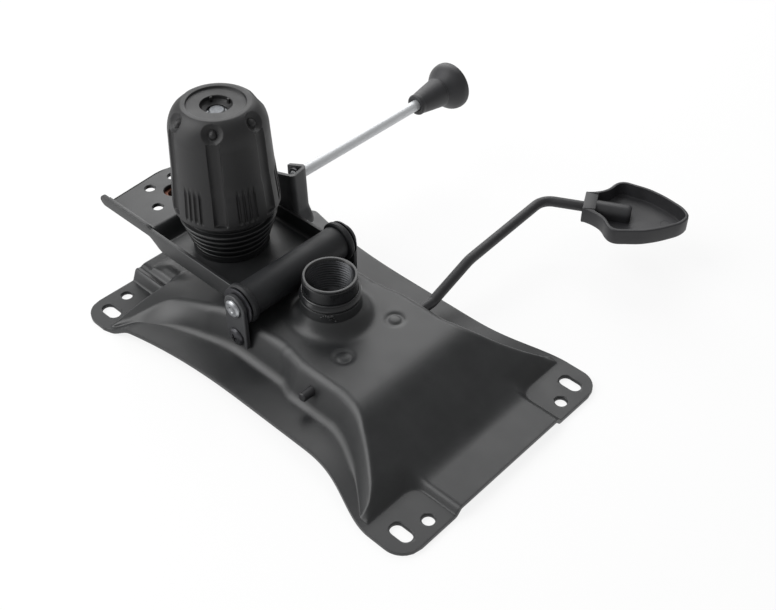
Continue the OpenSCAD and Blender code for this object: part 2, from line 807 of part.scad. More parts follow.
spring_low = tray_z + weld_gap + seat_h + free_gap + wire_d / 2;
spring_high = cap_top - cap_t - free_gap - wire_d / 2;
spring_pitch = (spring_high - spring_low) / spring_turns;
echo(spring_wire_gap = spring_pitch - wire_d);
module compression_spring() {
    n = spring_turns * wire_rings;
    pts = [for (i = [0:n], k = [0:wire_sides - 1])
              let (a = 360 * i / wire_rings,
                   b = 360 * k / wire_sides,
                   r = spring_d / 2 + wire_d / 2 * cos(b))
              [r * cos(a), r * sin(a), spring_low + spring_pitch * i / wire_rings
               + wire_d / 2 * sin(b)]];
    faces = [for (i = [0:n - 1], k = [0:wire_sides - 1])
                let (k2 = (k + 1) % wire_sides,
                     p = i * wire_sides,
                     q = p + wire_sides)
                each [[p + k, q + k, q + k2], [p + k, q + k2, p + k2]]];
    ends = [[for (k = [0:wire_sides - 1]) k],
            [for (k = [wire_sides - 1:-1:0]) n * wire_sides + k]];
    color("#5c5e61")
        translate([bolt_x, 0, 0])
            polyhedron(pts, concat(faces, ends), convexity = 20);
}

// Ribbed rubber boot, its neck reaching up into the knob
module dust_boot() {
    z0 = tray_z + free_gap;
    rib_z0 = tray_z + boot_rib_z;
    rib_step = (knob_foot - 7 - rib_z0) / (boot_ribs - 1);
    valley = 3.2;
    wall = 1.8;
    function rib_r(i) = mix(boot_foot_d, boot_top_d, i / (boot_ribs - 1)) / 2;
    ribs = [for (i = [0:boot_ribs - 1]) each
               [[rib_r(i) - (i == 0 ? 0 : valley), rib_z0 + rib_step * i - 1.7],
                [rib_r(i), rib_z0 + rib_step * i - 0.9],
                [rib_r(i), rib_z0 + rib_step * i + 0.9],
                [rib_r(i) - valley, rib_z0 + rib_step * i + 1.7]]];
    bore = [for (i = [boot_ribs - 1:-1:0])
               [max(rib_r(i) - valley - wall, seat_d / 2 + free_gap), rib_z0 + rib_step * i]];
    neck = boot_top_d / 2 - 2;
    color("#1a1a1b")
        translate([bolt_x, 0, 0])
            rotate_extrude()
                polygon(concat([[boot_foot_d / 2, z0]], ribs,
                               [[neck, knob_foot - 3], [neck, knob_foot + 6],
                                [neck - wall, knob_foot + 6]],
                               bore, [[max(boot_foot_d / 2 - valley - wall,
                                           seat_d / 2 + free_gap), z0]]));
}

// Tension knob
knob_mid_d = mix(knob_foot_d, knob_shoulder_d, 0.55);
shoulder_z = knob_top - 17.5;
function knob_shoulder(a) =
    [knob_flat_d / 2 + (knob_shoulder_d - knob_flat_d) / 2 * sin(a),
     shoulder_z + (knob_top - shoulder_z) * cos(a)];
module knob_body() {
    rotate_extrude()
        polygon(concat([[0, knob_foot]],
                       [[knob_foot_d / 2 - 0.4, knob_foot], [knob_foot_d / 2, knob_foot + 0.6],
                        [knob_foot_d / 2 - 0.2, knob_foot + 3.5],
                        [knob_mid_d / 2 + 0.1, knob_foot + 22]],
                       [for (a = [90:-7.5:0]) knob_shoulder(a)],
                       [[0, knob_top]]));
}
module knob_cavity() {
    w = knob_wall;
    rotate_extrude()
        polygon([[0, knob_foot - 1], [knob_foot_d / 2 - w, knob_foot - 1],
                 [knob_foot_d / 2 - w, knob_foot + 3], [knob_mid_d / 2 - w - 1, knob_foot + 22],
                 [knob_shoulder_d / 2 - w - 1, shoulder_z],
                 [knob_flat_d / 2 + 2, knob_top - 7], [0, knob_top - 7]]);
}
module tension_knob() {
    nut_d = (nut_af + 2 * weld_gap) / cos(30);
    dimple_z = knob_top - 9.2;
    dimple_at = knob_shoulder(60)[0] + 2.2;
    flute_r = (flute_w * flute_w / 4 + flute_depth * flute_depth) / (2 * flute_depth);
    flute_lean = atan((knob_foot_d - knob_shoulder_d) / 2 / (shoulder_z - knob_foot));
    color("#1f1f20")
        translate([bolt_x, 0, 0])
            difference() {
                union() {
                    difference() {
                        knob_body();
                        knob_cavity();
                    }
                    translate([0, 0, hub_foot])
                        cylinder(d = 28, h = knob_top - 1.5 - hub_foot);
                }
                translate([0, 0, knob_top - 1.4])
                    cylinder(d = knob_recess_d, h = 3);
                translate([0, 0, hub_foot + nut_h + 0.5])
                    cylinder(d = knob_hole_d, h = 30);
                translate([0, 0, hub_foot - 1])
                    cylinder(d = nut_d, h = nut_h + 2, $fn = 6);
                for (i = [0:flute_count - 1])
                    rotate([0, 0, flute_turn + i * 360 / flute_count]) {
                        translate([dimple_at, 0, dimple_z])
                            sphere(d = dimple_d);
                        translate([knob_shoulder_d / 2 + flute_r - flute_depth, 0, shoulder_z])
                            rotate([0, 180 - flute_lean, 0])
                                cylinder(r = flute_r, h = shoulder_z - knob_foot - 5);
                    }
            }
}
module knob_nut() {
    color("#b9babc")
        translate([bolt_x, 0, hub_foot + 0.2])
            difference() {
                cylinder(d = nut_af / cos(30), h = nut_h, $fn = 6);
                translate([0, 0, -1])
                    cylinder(d = bolt_d + 2 * run_gap, h = nut_h + 2);
            }
}

// Gas lever: a bent rod that turns in both walls of the dome
lever_kink_y = 57.5;
lever_x0 = lever_front;
rod_bend_r = 14;
paddle_dir = [cos(paddle_turn), sin(paddle_turn), 0];
bend_turn = 90 - paddle_turn;
bend_in = [lever_x0, lever_bend2_y, lever_bend2_z];
bend_c = bend_in + [rod_bend_r, 0, 0];
bend_out = bend_c + rod_bend_r * [-sin(paddle_turn), cos(paddle_turn), 0];
paddle_at = bend_out + paddle_dir * (paddle_reach - rod_bend_r * 0.8);

// The rod's line past its straight part, to its end inside the paddle
rod_line = concat(
    [[lever_x0, lever_kink_y, lever_z], [lever_x0, lever_kink_y + 2.5, lever_z + 0.4],
     [lever_x0, lever_bend1_y - 2, lever_bend1_z - 0.7],
     [lever_x0, lever_bend1_y + 2, lever_bend1_z + 0.2]],
    [for (a = [0:bend_turn / 6:bend_turn + 0.1])
        bend_c + rod_bend_r * [-cos(a), sin(a), 0]],
    [paddle_at + paddle_dir * 26]);
bend_sides = 24;
// Bent stretch of rod, its rings square to the line at each point
module bent_rod(line, d) {
    n = len(line) - 1;
    function dir(i) =
        let (v = line[min(n, i + 1)] - line[max(0, i - 1)])
        i == 0 ? [0, 1, 0] : v / norm(v);
    function ring(i) =
        let (t = dir(i),
             u = cross(t, [0, 0, 1]) / norm(cross(t, [0, 0, 1])),
             w = cross(u, t))
        [for (k = [0:bend_sides - 1])
            line[i] + d / 2 * (cos(360 * k / bend_sides) * u + sin(360 * k / bend_sides) * w)];
    pts = [for (i = [0:n]) each ring(i)];
    sides = [for (i = [0:n - 1], k = [0:bend_sides - 1])
                let (p = i * bend_sides,
                     q = p + bend_sides,
                     k2 = (k + 1) % bend_sides)
                each [[p + k, q + k2, q + k], [p + k, p + k2, q + k2]]];
    caps = [[for (k = [bend_sides - 1:-1:0]) k],
            [for (k = [0:bend_sides - 1]) n * bend_sides + k]];
    polyhedron(pts, concat(sides, caps), convexity = 6);
}
module gas_lever_rod() {
    color("#29292b") {
        translate([lever_x0, 0, lever_z])
            along_y(-55, lever_kink_y, lever_d);
        bent_rod(rod_line, lever_d - run_gap);
    }
}
module release_finger() {
    top = socket_foot - 8;
    x = lever_x0;
    hub_half = 1.3 * lever_d;
    half = lever_d;
    color("#6f7174")
        difference() {
            union() {
                translate([x, 0, lever_z])
                    along_y(-hub_half, hub_half, 2 * lever_d);
                wall_xz(-half, half)
                    polygon([[x, lever_z - 5], [x - 6, lever_z - 2], [x - 12, top + 3.5],
                             [4, top + 0.5], [1, top], [-4, top], [-5, top - 1],
                             [-5, top - 3.5], [2, top - 4], [x - 6, top - 1],
                             [x + 3, lever_z - 6]]);
            }
            translate([x, 0, lever_z])
                along_y(-hub_half - past, hub_half + past, lever_d + 2 * weld_gap);
        }
}
module lever_rings() {
    r = lever_d / 2 + 2;
    y1 = wall_y(lever_x0, lever_z + r) - wall_cut(lever_x0) - free_gap;
    color("#8d8f92")
        both_sides()
            translate([lever_x0, 0, lever_z])
                difference() {
                    along_y(y1 - 1.5, y1, 2 * r);
                    along_y(y1 - 3, y1 + 1, lever_d + 2 * weld_gap);
                }
}

// Paddle, its half outline given as shares of its length and half width
paddle_shape = [[0, 0.35], [0.07, 0.4], [0.13, 0.47], [0.18, 0.56], [0.22, 0.68], [0.25, 0.82],
                [0.285, 0.93], [0.33, 0.99], [0.38, 1], [0.46, 0.955], [0.58, 0.88],
                [0.68, 0.77], [0.77, 0.64], [0.86, 0.48], [0.93, 0.34], [0.975, 0.19],
                [0.998, 0.06]];
function paddle_half(inset) =
    [for (i = [0:len(paddle_shape) - 1])
        let (p = [paddle_shape[i][0] * paddle_l, paddle_shape[i][1] * paddle_w / 2],
             a = paddle_shape[max(0, i - 1)],
             b = paddle_shape[min(len(paddle_shape) - 1, i + 1)],
             t = [(b[0] - a[0]) * paddle_l, (b[1] - a[1]) * paddle_w / 2],
             u = t / norm(t))
        [p[0] + u[1] * inset, max(0.2, p[1] - u[0] * inset)]];
module paddle_outline(inset) {
    half = paddle_half(inset);
    polygon(concat(half, [for (i = [len(half) - 1:-1:0]) [half[i][0], -half[i][1]]]));
}
module paddle() {
    rim = lever_d / 2 + 2;
    hollow = paddle_l * 0.125;
    socket_l = 23;
    color("#202021")
        translate(paddle_at)
            rotate([0, 0, paddle_turn])
                difference() {
                    union() {
                        translate([0, 0, rim - paddle_h])
                            difference() {
                                linear_extrude(paddle_h)
                                    paddle_outline(0);
                                translate([0, 0, paddle_wall])
                                    intersection() {
                                        linear_extrude(paddle_h)
                                            paddle_outline(paddle_wall);
                                        translate([hollow, -paddle_w / 2, 0])
                                            cube([paddle_l, paddle_w, paddle_h]);
                                    }
                            }
                        translate([hollow - 1, 0, 0])
                            rotate([0, 90, 0])
                                cylinder(d = lever_d + 4, h = socket_l);
                    }
                    translate([-past, 0, 0])
                        rotate([0, 90, 0])
                            cylinder(d = lever_d + 2 * weld_gap, h = hollow + socket_l);
                }
}

// Lock rod with its stop collar and bell knob
lock_stroke = 6;
lock_tip = lug_y1 - lug_t - lock_stroke;
module lock_rod() {
    color("#b4b6b8")
        translate([-lock_back, 0, lock_z])
            rotate([-90, 0, 0])
                rotate_extrude()
                    polygon([[0, lock_tip], [lock_d / 2 - 0.6, lock_tip],
                             [lock_d / 2, lock_tip + 0.6], [lock_d / 2, lock_knob_y + 24],
                             [0, lock_knob_y + 24]]);
}
module lock_collar() {
    y1 = lug_y1 - lug_t - free_gap;
    color("#3a3b3d")
        translate([-lock_back, 0, lock_z])
            difference() {
                along_y(y1 - 2, y1, lock_d + 5);
                along_y(y1 - 3, y1 + 1, lock_d + 2 * weld_gap);
            }
}
module lock_knob() {
    y0 = lock_knob_y;
    l = lock_knob_l;
    r = lock_knob_d / 2;
    color("#1c1c1d")
        translate([-lock_back, 0, lock_z])
            rotate([-90, 0, 0])
                rotate_extrude()
                    polygon([[lock_d / 2 + weld_gap, y0], [7, y0], [7.35, y0 + 0.5],
                             [7.6, y0 + 0.12 * l], [8.6, y0 + 0.3 * l], [10.4, y0 + 0.5 * l],
                             [12.4, y0 + 0.64 * l], [r - 2.2, y0 + 0.76 * l],
                             [r - 0.3, y0 + 0.83 * l], [r, y0 + 0.87 * l],
                             [r - 0.8, y0 + 0.93 * l], [r - 4, y0 + 0.975 * l],
                             [r * 0.4, y0 + l], [0, y0 + l], [0, y0 + 24.4],
                             [lock_d / 2 + weld_gap, y0 + 24.4]]);
}

seat_plate();
column_socket();
socket_collar();
link_near();
link_far();
link_screws();
pivot_pin();
thrust_washers();
stop_sleeve();
tension_bolt();
compression_spring();
dust_boot();
tilt_channel();
cross_tube();
bush_near();
bush_far();
lock_bracket();
backrest_nut();
spring_seat();
spring_cap();
tension_knob();
knob_nut();
gas_lever_rod();
release_finger();
lever_rings();
paddle();
lock_rod();
lock_collar();
lock_knob();
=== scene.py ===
"""Dresses the push back mechanism of an office chair, shown knob up on a pale floor.

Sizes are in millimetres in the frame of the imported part: the origin is the centre of the
seat bolt pattern, +X is the front of the seat, +Y the side of the levers, +Z away from the
seat. Meshes are turned to metres when they are made.
"""

import logging
import math
from dataclasses import dataclass, field
from enum import Enum
from typing import Any, Iterable, Sequence

import bmesh
import bpy
import numpy as np
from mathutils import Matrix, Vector


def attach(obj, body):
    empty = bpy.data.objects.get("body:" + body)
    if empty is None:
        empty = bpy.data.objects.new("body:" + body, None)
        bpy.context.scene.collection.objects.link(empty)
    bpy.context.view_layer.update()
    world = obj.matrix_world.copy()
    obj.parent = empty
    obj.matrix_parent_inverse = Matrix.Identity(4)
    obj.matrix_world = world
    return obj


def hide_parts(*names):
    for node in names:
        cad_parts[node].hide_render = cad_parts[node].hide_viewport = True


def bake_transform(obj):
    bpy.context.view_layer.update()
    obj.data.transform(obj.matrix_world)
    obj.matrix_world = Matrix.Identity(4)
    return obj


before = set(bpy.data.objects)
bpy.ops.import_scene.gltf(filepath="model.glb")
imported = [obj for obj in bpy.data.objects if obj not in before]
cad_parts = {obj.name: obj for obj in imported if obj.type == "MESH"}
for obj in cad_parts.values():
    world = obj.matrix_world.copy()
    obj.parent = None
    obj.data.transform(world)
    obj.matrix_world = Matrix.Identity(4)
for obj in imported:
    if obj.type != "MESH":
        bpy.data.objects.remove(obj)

LOG = logging.getLogger("push_back_mechanism")
Array = np.ndarray
MM = 0.001


class Body(Enum):
    """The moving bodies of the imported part."""

    HOUSING = "housing"
    TILT = "tilt_frame"
    CARRIER = "spring_carrier"
    KNOB = "knob"
    GAS_LEVER = "gas_lever"
    LOCK_LEVER = "lock_lever"


@dataclass(frozen=True)
class Layout:
    """Places and sizes that several sub-assemblies share.

    Attributes:
        sheet: thickness of all pressed and folded sheet.
        tray: height of the tray's upper face.
        pivot: middle of the axis of the cross tube, which runs along Y.
        screw: middle of the axis of the link screws, along Y.
        gas: middle of the gas lever's axis, along Y.
        lock: point on the lock rod's axis, along Y.
        bolt: foot of the tension bolt's axis, along Z.
        middle: foot of the column socket's axis, along Z.
    """

    sheet: float = 2.5
    tray: float = 37.6
    pivot: tuple[float, float, float] = (-33.4, 0, 44.4)
    screw: tuple[float, float, float] = (-33.4, 0, 22.0)
    gas: tuple[float, float, float] = (30.5, 0, 20.0)
    lock: tuple[float, float, float] = (-80.0, 0, 67.5)
    bolt: tuple[float, float, float] = (-90.7, 0, 0)
    middle: tuple[float, float, float] = (0, 0, 0)


AT = Layout()


# Small formulas


def points(*parts: Any) -> Array:
    """Points from their coordinates, which are spread to one shape."""
    return np.stack(np.broadcast_arrays(*parts), -1)


def mix(a: Any, b: Any, t: Any) -> Any:
    """Value a share t of the way from a to b."""
    return a + (b - a) * t


def ease(t: Any) -> Array:
    """Smooth step: 3t squared less 2t cubed, with t held between 0 and 1."""
    s = np.clip(t, 0.0, 1.0)
    return s * s * (3 - 2 * s)


def soft_min(a: Any, b: Any, k: float) -> Array:
    """Lower of two heights, rounded over a difference of k."""
    return np.minimum(a, b) - np.maximum(0.0, k - np.abs(a - b)) ** 2 / (4 * k)


def soft_max(a: Any, b: Any, k: float) -> Array:
    """Higher of two heights, rounded over a difference of k."""
    return -soft_min(-a, -b, k)


def bend(flat: Array, steep: Array, slope: Any, r: Any, height: Array) -> Array:
    """Lower one of two faces, with an arc where they meet.

    With s the distance past the corner and t = r tan(a / 2), the arc runs from s = -t to
    s = t cos a and lies r below the flat face's level less the rest of a circle.

    Args:
        flat: height of the flat face.
        steep: height of the face that falls away.
        slope: slope of the steep face.
        r: radius of the arc, held to half of what the height gives room for.
        height: height of the whole wall.

    Returns:
        Height of the rounded edge.
    """
    a = np.arctan(slope)
    r = np.minimum(r, 0.5 * np.maximum(height, 0.05) / (1 - np.cos(a)))
    t = r * np.tan(a / 2)
    s = (flat - steep) / slope
    arc = flat - r + np.sqrt(np.maximum(r ** 2 - (s + t) ** 2, 0))
    return np.where(s <= -t, flat, np.where(s >= t * np.cos(a), steep, arc))


def fillet(corners: Sequence[tuple[float, ...]], steps: int = 5) -> Array:
    """Rounds the corners of a line in the plane or in space.

    Each corner P with radius r is left at a distance t along both of its sides, and a
    quadratic curve pulled to P joins the two points: (1-s)^2 A + 2s(1-s) P + s^2 B.

    Args:
        corners: points, each with its radius as the last number, 0 at an open line's ends.
        steps: pieces in each rounded corner.

    Returns:
        Points as an array.
    """
    pts = np.array([c[:-1] for c in corners], float)
    n = len(pts)
    out: list[Array] = []
    s = np.linspace(0, 1, steps + 1)[:, None]
    for i, p in enumerate(pts):
        r = corners[i][-1]
        if r <= 0:
            out.append(p[None])
            continue
        u, v = pts[i - 1] - p, pts[(i + 1) % n] - p
        lu, lv = np.linalg.norm(u), np.linalg.norm(v)
        half = math.acos(np.clip(np.dot(u, v) / (lu * lv), -1, 1)) / 2
        t = min(r / max(math.tan(half), 1e-6), 0.48 * lu, 0.48 * lv)
        pa, pb = p + u / lu * t, p + v / lv * t
        out.append((1 - s) ** 2 * pa + 2 * s * (1 - s) * p + s ** 2 * pb)
    return np.concatenate(out)


def rounded_box(a0: float, b0: float, a1: float, b1: float, r: float) -> Array:
    """Closed rectangle between two corners, all four rounded by r."""
    return fillet([(a0, b0, r), (a1, b0, r), (a1, b1, r), (a0, b1, r)], steps=4)


def turns(n: int) -> Array:
    """Angles of n points spread evenly round a circle."""
    return np.linspace(0, 2 * np.pi, n, endpoint=False)


def circle(r: float, n: int, centre: Sequence[float]) -> Array:
    """Closed circle of n points round a centre."""
    a = turns(n)
    return points(centre[0] + r * np.cos(a), centre[1] + r * np.sin(a))


def turned(pts: Array, angle: float) -> Array:
    """Turns points of a plane about its origin by an angle in degrees."""
    c, s = math.cos(math.radians(angle)), math.sin(math.radians(angle))
    return pts @ np.array([(c, s), (-s, c)])


# Meshes


class Skin:
    """Gathers grids of points into one mesh of closed shells, in millimetres."""

    def __init__(self) -> None:
        """Starts with no points."""
        self.verts: list[Array] = []
        self.faces: list[list[int]] = []
        self.count = 0

    def grid(self, pts: Array, ring: bool = False, loop: bool = False,
             caps: bool = False) -> "Skin":
        """Adds a surface over a grid of points.

        Args:
            pts: array of rows x columns x 3.
            ring: whether the last column joins the first.
            loop: whether the last row joins the first.
            caps: whether the first and last rows are closed by a flat face.

        Returns:
            This skin.
        """
        rows, cols = pts.shape[:2]
        i = np.arange(rows if loop else rows - 1)[:, None]
        j = np.arange(cols if ring else cols - 1)[None]
        i2, j2 = (i + 1) % rows, (j + 1) % cols
        quads = np.stack([i * cols + j, i * cols + j2, i2 * cols + j2, i2 * cols + j], -1)
        self.faces += (quads.reshape(-1, 4) + self.count).tolist()
        if caps:
            first = np.arange(cols)[::-1] + self.count
            last = (rows - 1) * cols + np.arange(cols) + self.count
            self.faces += [first.tolist(), last.tolist()]
        self.verts.append(pts.reshape(-1, 3))
        self.count += rows * cols
        return self

    def revolve(self, profile: Any, centre: Sequence[float], axis: str = "Z",
                n: int = 96) -> "Skin":
        """Turns a profile of (radius, height) round an axis through a centre.

        Point = centre + radius (cos a, sin a) in the plane across the axis + height along it.
        The profile returns to its start unless one of its ends lies on the axis.

        Args:
            profile: pairs of radius and height.
            centre: point on the axis at height 0.
            axis: Y or Z.
            n: points round the axis.

        Returns:
            This skin.
        """
        a = turns(n)
        line = np.asarray(profile, float)
        r, h = line[:, :1], line[:, 1:]
        p, q = r * np.cos(a), r * np.sin(a)
        pts = points(q, h, p) if axis == "Y" else points(p, q, h)
        return self.grid(pts + np.array(centre, float), ring=True,
                         loop=bool(line[[0, -1], 0].all()))

    def prism(self, outline: Array, low: float, high: float, plane: str = "XY",
              edge: float = 0.0) -> "Skin":
        """Stands a closed outline between two levels, with its edges broken by a chamfer.

        Args:
            outline: pairs in the named plane, counterclockwise or not.
            low: level of the first face.
            high: level of the second face.
            plane: XY or XZ.
            edge: chamfer of both rims.

        Returns:
            This skin.
        """
        levels = [(low, edge), (low + edge, 0), (high - edge, 0), (high, edge)] if edge else [
            (low, 0), (high, 0)]
        return self.loft([(inset(outline, d), z) for z, d in levels], plane)

    def loft(self, sections: Iterable[tuple[Array, float]], plane: str = "XY") -> "Skin":
        """Joins closed outlines of equal length at their levels, with flat ends."""
        rows = [np.insert(line, {"XY": 2, "XZ": 1}[plane], z, axis=1) for line, z in sections]
        return self.grid(np.array(rows), ring=True, caps=True)

    def tube(self, path: Array, radius: Any, sides: int) -> "Skin":
        """Carries a circle along a path.

        The frame at each point is carried from the one before: the part of the last side
        vector that lies across the new direction, made of unit length again.

        Args:
            path: points as an array of n x 3.
            radius: one radius, or one for each point.
            sides: points round the path.

        Returns:
            This skin.
        """
        d = np.gradient(path, axis=0)
        d /= np.linalg.norm(d, axis=1)[:, None]
        u = np.cross(d[0], (0.0, 0.0, 1.0) if abs(d[0][2]) < 0.9 else (1.0, 0.0, 0.0))
        us = []
        for t in d:
            u = u - np.dot(u, t) * t
            u /= np.linalg.norm(u)
            us.append(u)
        side = np.array(us)
        up = np.cross(side, d)
        a = turns(sides)[None, :, None]
        r = np.broadcast_to(np.asarray(radius, float), (len(path),))[:, None, None]
        pts = path[:, None] + r * (np.cos(a) * side[:, None] + np.sin(a) * up[:, None])
        return self.grid(pts, ring=True, caps=True)

    def add(self, other: "Skin") -> "Skin":
        """Takes over another skin's points and faces.

        Args:
            other: the skin whose surfaces it takes over.

        Returns:
            This skin.
        """
        self.faces += [[i + self.count for i in face] for face in other.faces]
        self.verts += other.verts
        self.count += other.count
        return self

    def mesh(self, name: str) -> bpy.types.Mesh:
        """Makes the mesh in metres, its seams merged and its faces turned outwards.

        Args:
            name: the mesh's name.

        Returns:
            The mesh.
        """
        data = bpy.data.meshes.new(name)
        data.from_pydata((np.concatenate(self.verts) * MM).tolist(), [], self.faces)
        clean(data)
        return data


def inset(line: Array, d: float) -> Array:
    """Moves each point of a closed outline inwards by d, along the mean of its sides' normals.

    Args:
        line: closed outline.
        d: distance in mm, negative for outwards.

    Returns:
        The moved outline.
    """
    if d == 0:
        return line
    t = np.roll(line, -1, 0) - np.roll(line, 1, 0)
    t /= np.linalg.norm(t, axis=1)[:, None]
    area = np.sum(line[:, 0] * np.roll(line[:, 1], -1) - np.roll(line[:, 0], -1) * line[:, 1])
    return line + d * np.sign(area) * np.stack([-t[:, 1], t[:, 0]], 1)


def clean(data: bpy.types.Mesh) -> None:
    """Merges doubled points, drops faces without area and turns all faces outwards.

    Args:
        data: the mesh, changed in place.
    """
    bm = bmesh.new()
    bm.from_mesh(data)
    bmesh.ops.remove_doubles(bm, verts=bm.verts, dist=2e-6)
    bmesh.ops.dissolve_degenerate(bm, edges=bm.edges, dist=1e-7)
    bmesh.ops.recalc_face_normals(bm, faces=bm.faces)
    bm.to_mesh(data)
    bm.free()


def as_object(data: bpy.types.ID) -> bpy.types.Object:
    """Links a mesh, camera or lamp into the scene under its own name.

    Args:
        data: the mesh, camera or lamp.

    Returns:
        The object, at the origin.
    """
    obj = bpy.data.objects.new(data.name, data)
    bpy.context.scene.collection.objects.link(obj)
    return obj


def modify(obj: bpy.types.Object, kind: str, **settings: Any) -> None:
    """Turns the result of a modifier into an object's mesh.

    Args:
        obj: the object.
        kind: type of the modifier.
        settings: its properties.
    """
    mod = obj.modifiers.new("step", kind)
    for key, value in settings.items():
        setattr(mod, key, value)
    graph = bpy.context.evaluated_depsgraph_get()
    data = bpy.data.meshes.new_from_object(obj.evaluated_get(graph))
    obj.modifiers.clear()
    obj.data = data


def cut(obj: bpy.types.Object, tool: Skin) -> None:
    """Cuts a skin out of an object, both taken as solids.

    Args:
        obj: the object that is cut.
        tool: what is taken out of it.
    """
    other = as_object(tool.mesh("cutter"))
    modify(obj, "BOOLEAN", operation="DIFFERENCE", solver="EXACT", object=other)
    bpy.data.objects.remove(other)


def join(obj: bpy.types.Object, *skins: Skin) -> None:
    """Adds more skins to an object as shells of their own.

    Args:
        obj: the object that grows.
        skins: what it takes over.
    """
    bm = bmesh.new()
    bm.from_mesh(obj.data)
    for skin in skins:
        bm.from_mesh(skin.mesh("part"))
    bm.to_mesh(obj.data)
    bm.free()


def paint(obj: bpy.types.Object, finish: "Finish", nodes: Sequence[str],
          crease: float) -> None:
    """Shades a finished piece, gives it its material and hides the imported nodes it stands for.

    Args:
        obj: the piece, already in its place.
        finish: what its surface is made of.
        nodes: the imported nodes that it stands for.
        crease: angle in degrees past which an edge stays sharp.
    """
    data = obj.data
    data.polygons.foreach_set("use_smooth", np.ones(len(data.polygons), bool))
    data.set_sharp_from_angle(angle=math.radians(crease))
    data.materials.clear()
    data.materials.append(finish.material())
    if nodes:
        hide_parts(*nodes)
    LOG.info("%s: %d faces", obj.name, len(data.polygons))


def dress(obj: bpy.types.Object, finish: "Finish", body: Body, *nodes: str,
          crease: float = 32) -> None:
    """Paints a stiff piece and lets it ride on its body."""
    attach(obj, body.value)
    paint(obj, finish, nodes, crease)


def piece(name: str, skin: Skin, finish: "Finish", body: Body, *nodes: str,
          crease: float = 32) -> None:
    """Makes a stiff piece straight from its skin."""
    dress(as_object(skin.mesh(name)), finish, body, *nodes, crease=crease)


# Finishes


def linear(code: str) -> tuple[float, float, float, float]:
    """Turns an sRGB hex colour into linear RGBA.

    Args:
        code: a hash mark and six hex digits.

    Returns:
        Red, green, blue and a full alpha.
    """
    srgb = np.array([int(code[i:i + 2], 16) for i in (1, 3, 5)]) / 255
    lin = np.where(srgb <= 0.04045, srgb / 12.92, ((srgb + 0.055) / 1.055) ** 2.4)
    return (float(lin[0]), float(lin[1]), float(lin[2]), 1.0)


def add_node(tree: bpy.types.NodeTree, kind: str, inputs: dict[Any, Any] | None = None,
             **settings: Any) -> bpy.types.Node:
    """Adds a node, sets its properties, and fills or links its inputs.

    Args:
        tree: the node tree.
        kind: type of the node.
        inputs: a value or another node's socket for each input.
        settings: the node's properties.

    Returns:
        The node.
    """
    node = tree.nodes.new(kind)
    for key, value in settings.items():
        setattr(node, key, value)
    for key, value in (inputs or {}).items():
        if isinstance(value, bpy.types.NodeSocket):
            tree.links.new(value, node.inputs[key])
        else:
            node.inputs[key].default_value = value
    return node


def bare_tree(data: Any) -> bpy.types.NodeTree:
    """Gives a material or a world an empty node tree.

    Args:
        data: the material or world.

    Returns:
        Its node tree.
    """
    data.use_nodes = True
    data.node_tree.nodes.clear()
    return data.node_tree


@dataclass(frozen=True)
class Finish:
    """A surface with mottled colour and gloss and a fine relief, on Object coordinates.

    Attributes:
        name: material and process.
        slot: name of a material slot; not used.
        low: colour of the darker patches.
        high: colour of the lighter patches.
        gloss: lowest and highest roughness.
        patch: size of the patches in mm.
        grain: size of the relief's grain in mm.
        relief: height of the relief in mm.
        metal: metallic share.
        specular: specular level.
        stretch: scale of the pattern along X, Y and Z.
    """

    name: str
    slot: str
    low: str
    high: str
    gloss: tuple[float, float]
    patch: float = 12.0
    grain: float = 0.8
    relief: float = 0.012
    metal: float = 0.0
    specular: float = 0.5
    stretch: tuple[float, float, float] = (1.0, 1.0, 1.0)

    def material(self) -> bpy.types.Material:
        """Makes the material once and returns it every later time.

        Returns:
            The material.
        """
        known = bpy.data.materials.get(self.name)
        if known:
            return known
        mat = bpy.data.materials.new(self.name)
        tree = bare_tree(mat)
        place = add_node(tree, "ShaderNodeTexCoord").outputs["Object"]
        along = add_node(tree, "ShaderNodeMapping", {"Vector": place, "Scale": self.stretch})
        spot = along.outputs["Vector"]
        patches, grains = [add_node(tree, "ShaderNodeTexNoise", {
            "Vector": spot, "Scale": 1 / (size * MM), "Detail": detail, "Roughness": rough,
            }).outputs["Fac"] for size, detail, rough in ((self.patch, 4.0, 0.6),
                                                          (self.grain, 2.0, 0.5))]
        blend = add_node(tree, "ShaderNodeMapRange", {
            "Value": patches, "From Min": 0.35, "From Max": 0.65}).outputs["Result"]
        both = add_node(tree, "ShaderNodeMath", {0: blend, 1: grains},
                        operation="MULTIPLY").outputs["Value"]
        colour = add_node(tree, "ShaderNodeMix", {
            "Factor": both, "A": linear(self.low), "B": linear(self.high)},
            data_type="RGBA")
        rough = add_node(tree, "ShaderNodeMapRange", {
            "Value": patches, "From Min": 0.3, "From Max": 0.7, "To Min": self.gloss[0],
            "To Max": self.gloss[1]}).outputs["Result"]
        bump = add_node(tree, "ShaderNodeBump", {
            "Height": grains, "Strength": 1.0, "Distance": self.relief * MM})
        shader = add_node(tree, "ShaderNodeBsdfPrincipled", {
            "Base Color": colour.outputs["Result"], "Roughness": rough,
            "Metallic": self.metal, "Specular IOR Level": self.specular,
            "Normal": bump.outputs["Normal"]})
        add_node(tree, "ShaderNodeOutputMaterial", {"Surface": shader.outputs["BSDF"]})
        return mat


# Electrophoretic coat on pressed steel: deep grey black, a soft even sheen, and the faint
# orange skin of a coat baked over sheet. The grain is drawn at 0.9 mm, coarser than the real
# 0.3 mm, so that it shows.
COAT = Finish("black_coat_on_pressed_steel", "black_coat", "#1e1f20", "#28292a", (0.35, 0.45),
    patch=18, grain=0.9, relief=0.010)
# The same coat on drawn tube and turned bushes is a little glossier.
TUBE_COAT = Finish("black_coat_on_drawn_tube", "black_coat", "#1a1b1d", "#222325", (0.50, 0.60),
    patch=14, grain=0.8, relief=0.007, specular=0.36)
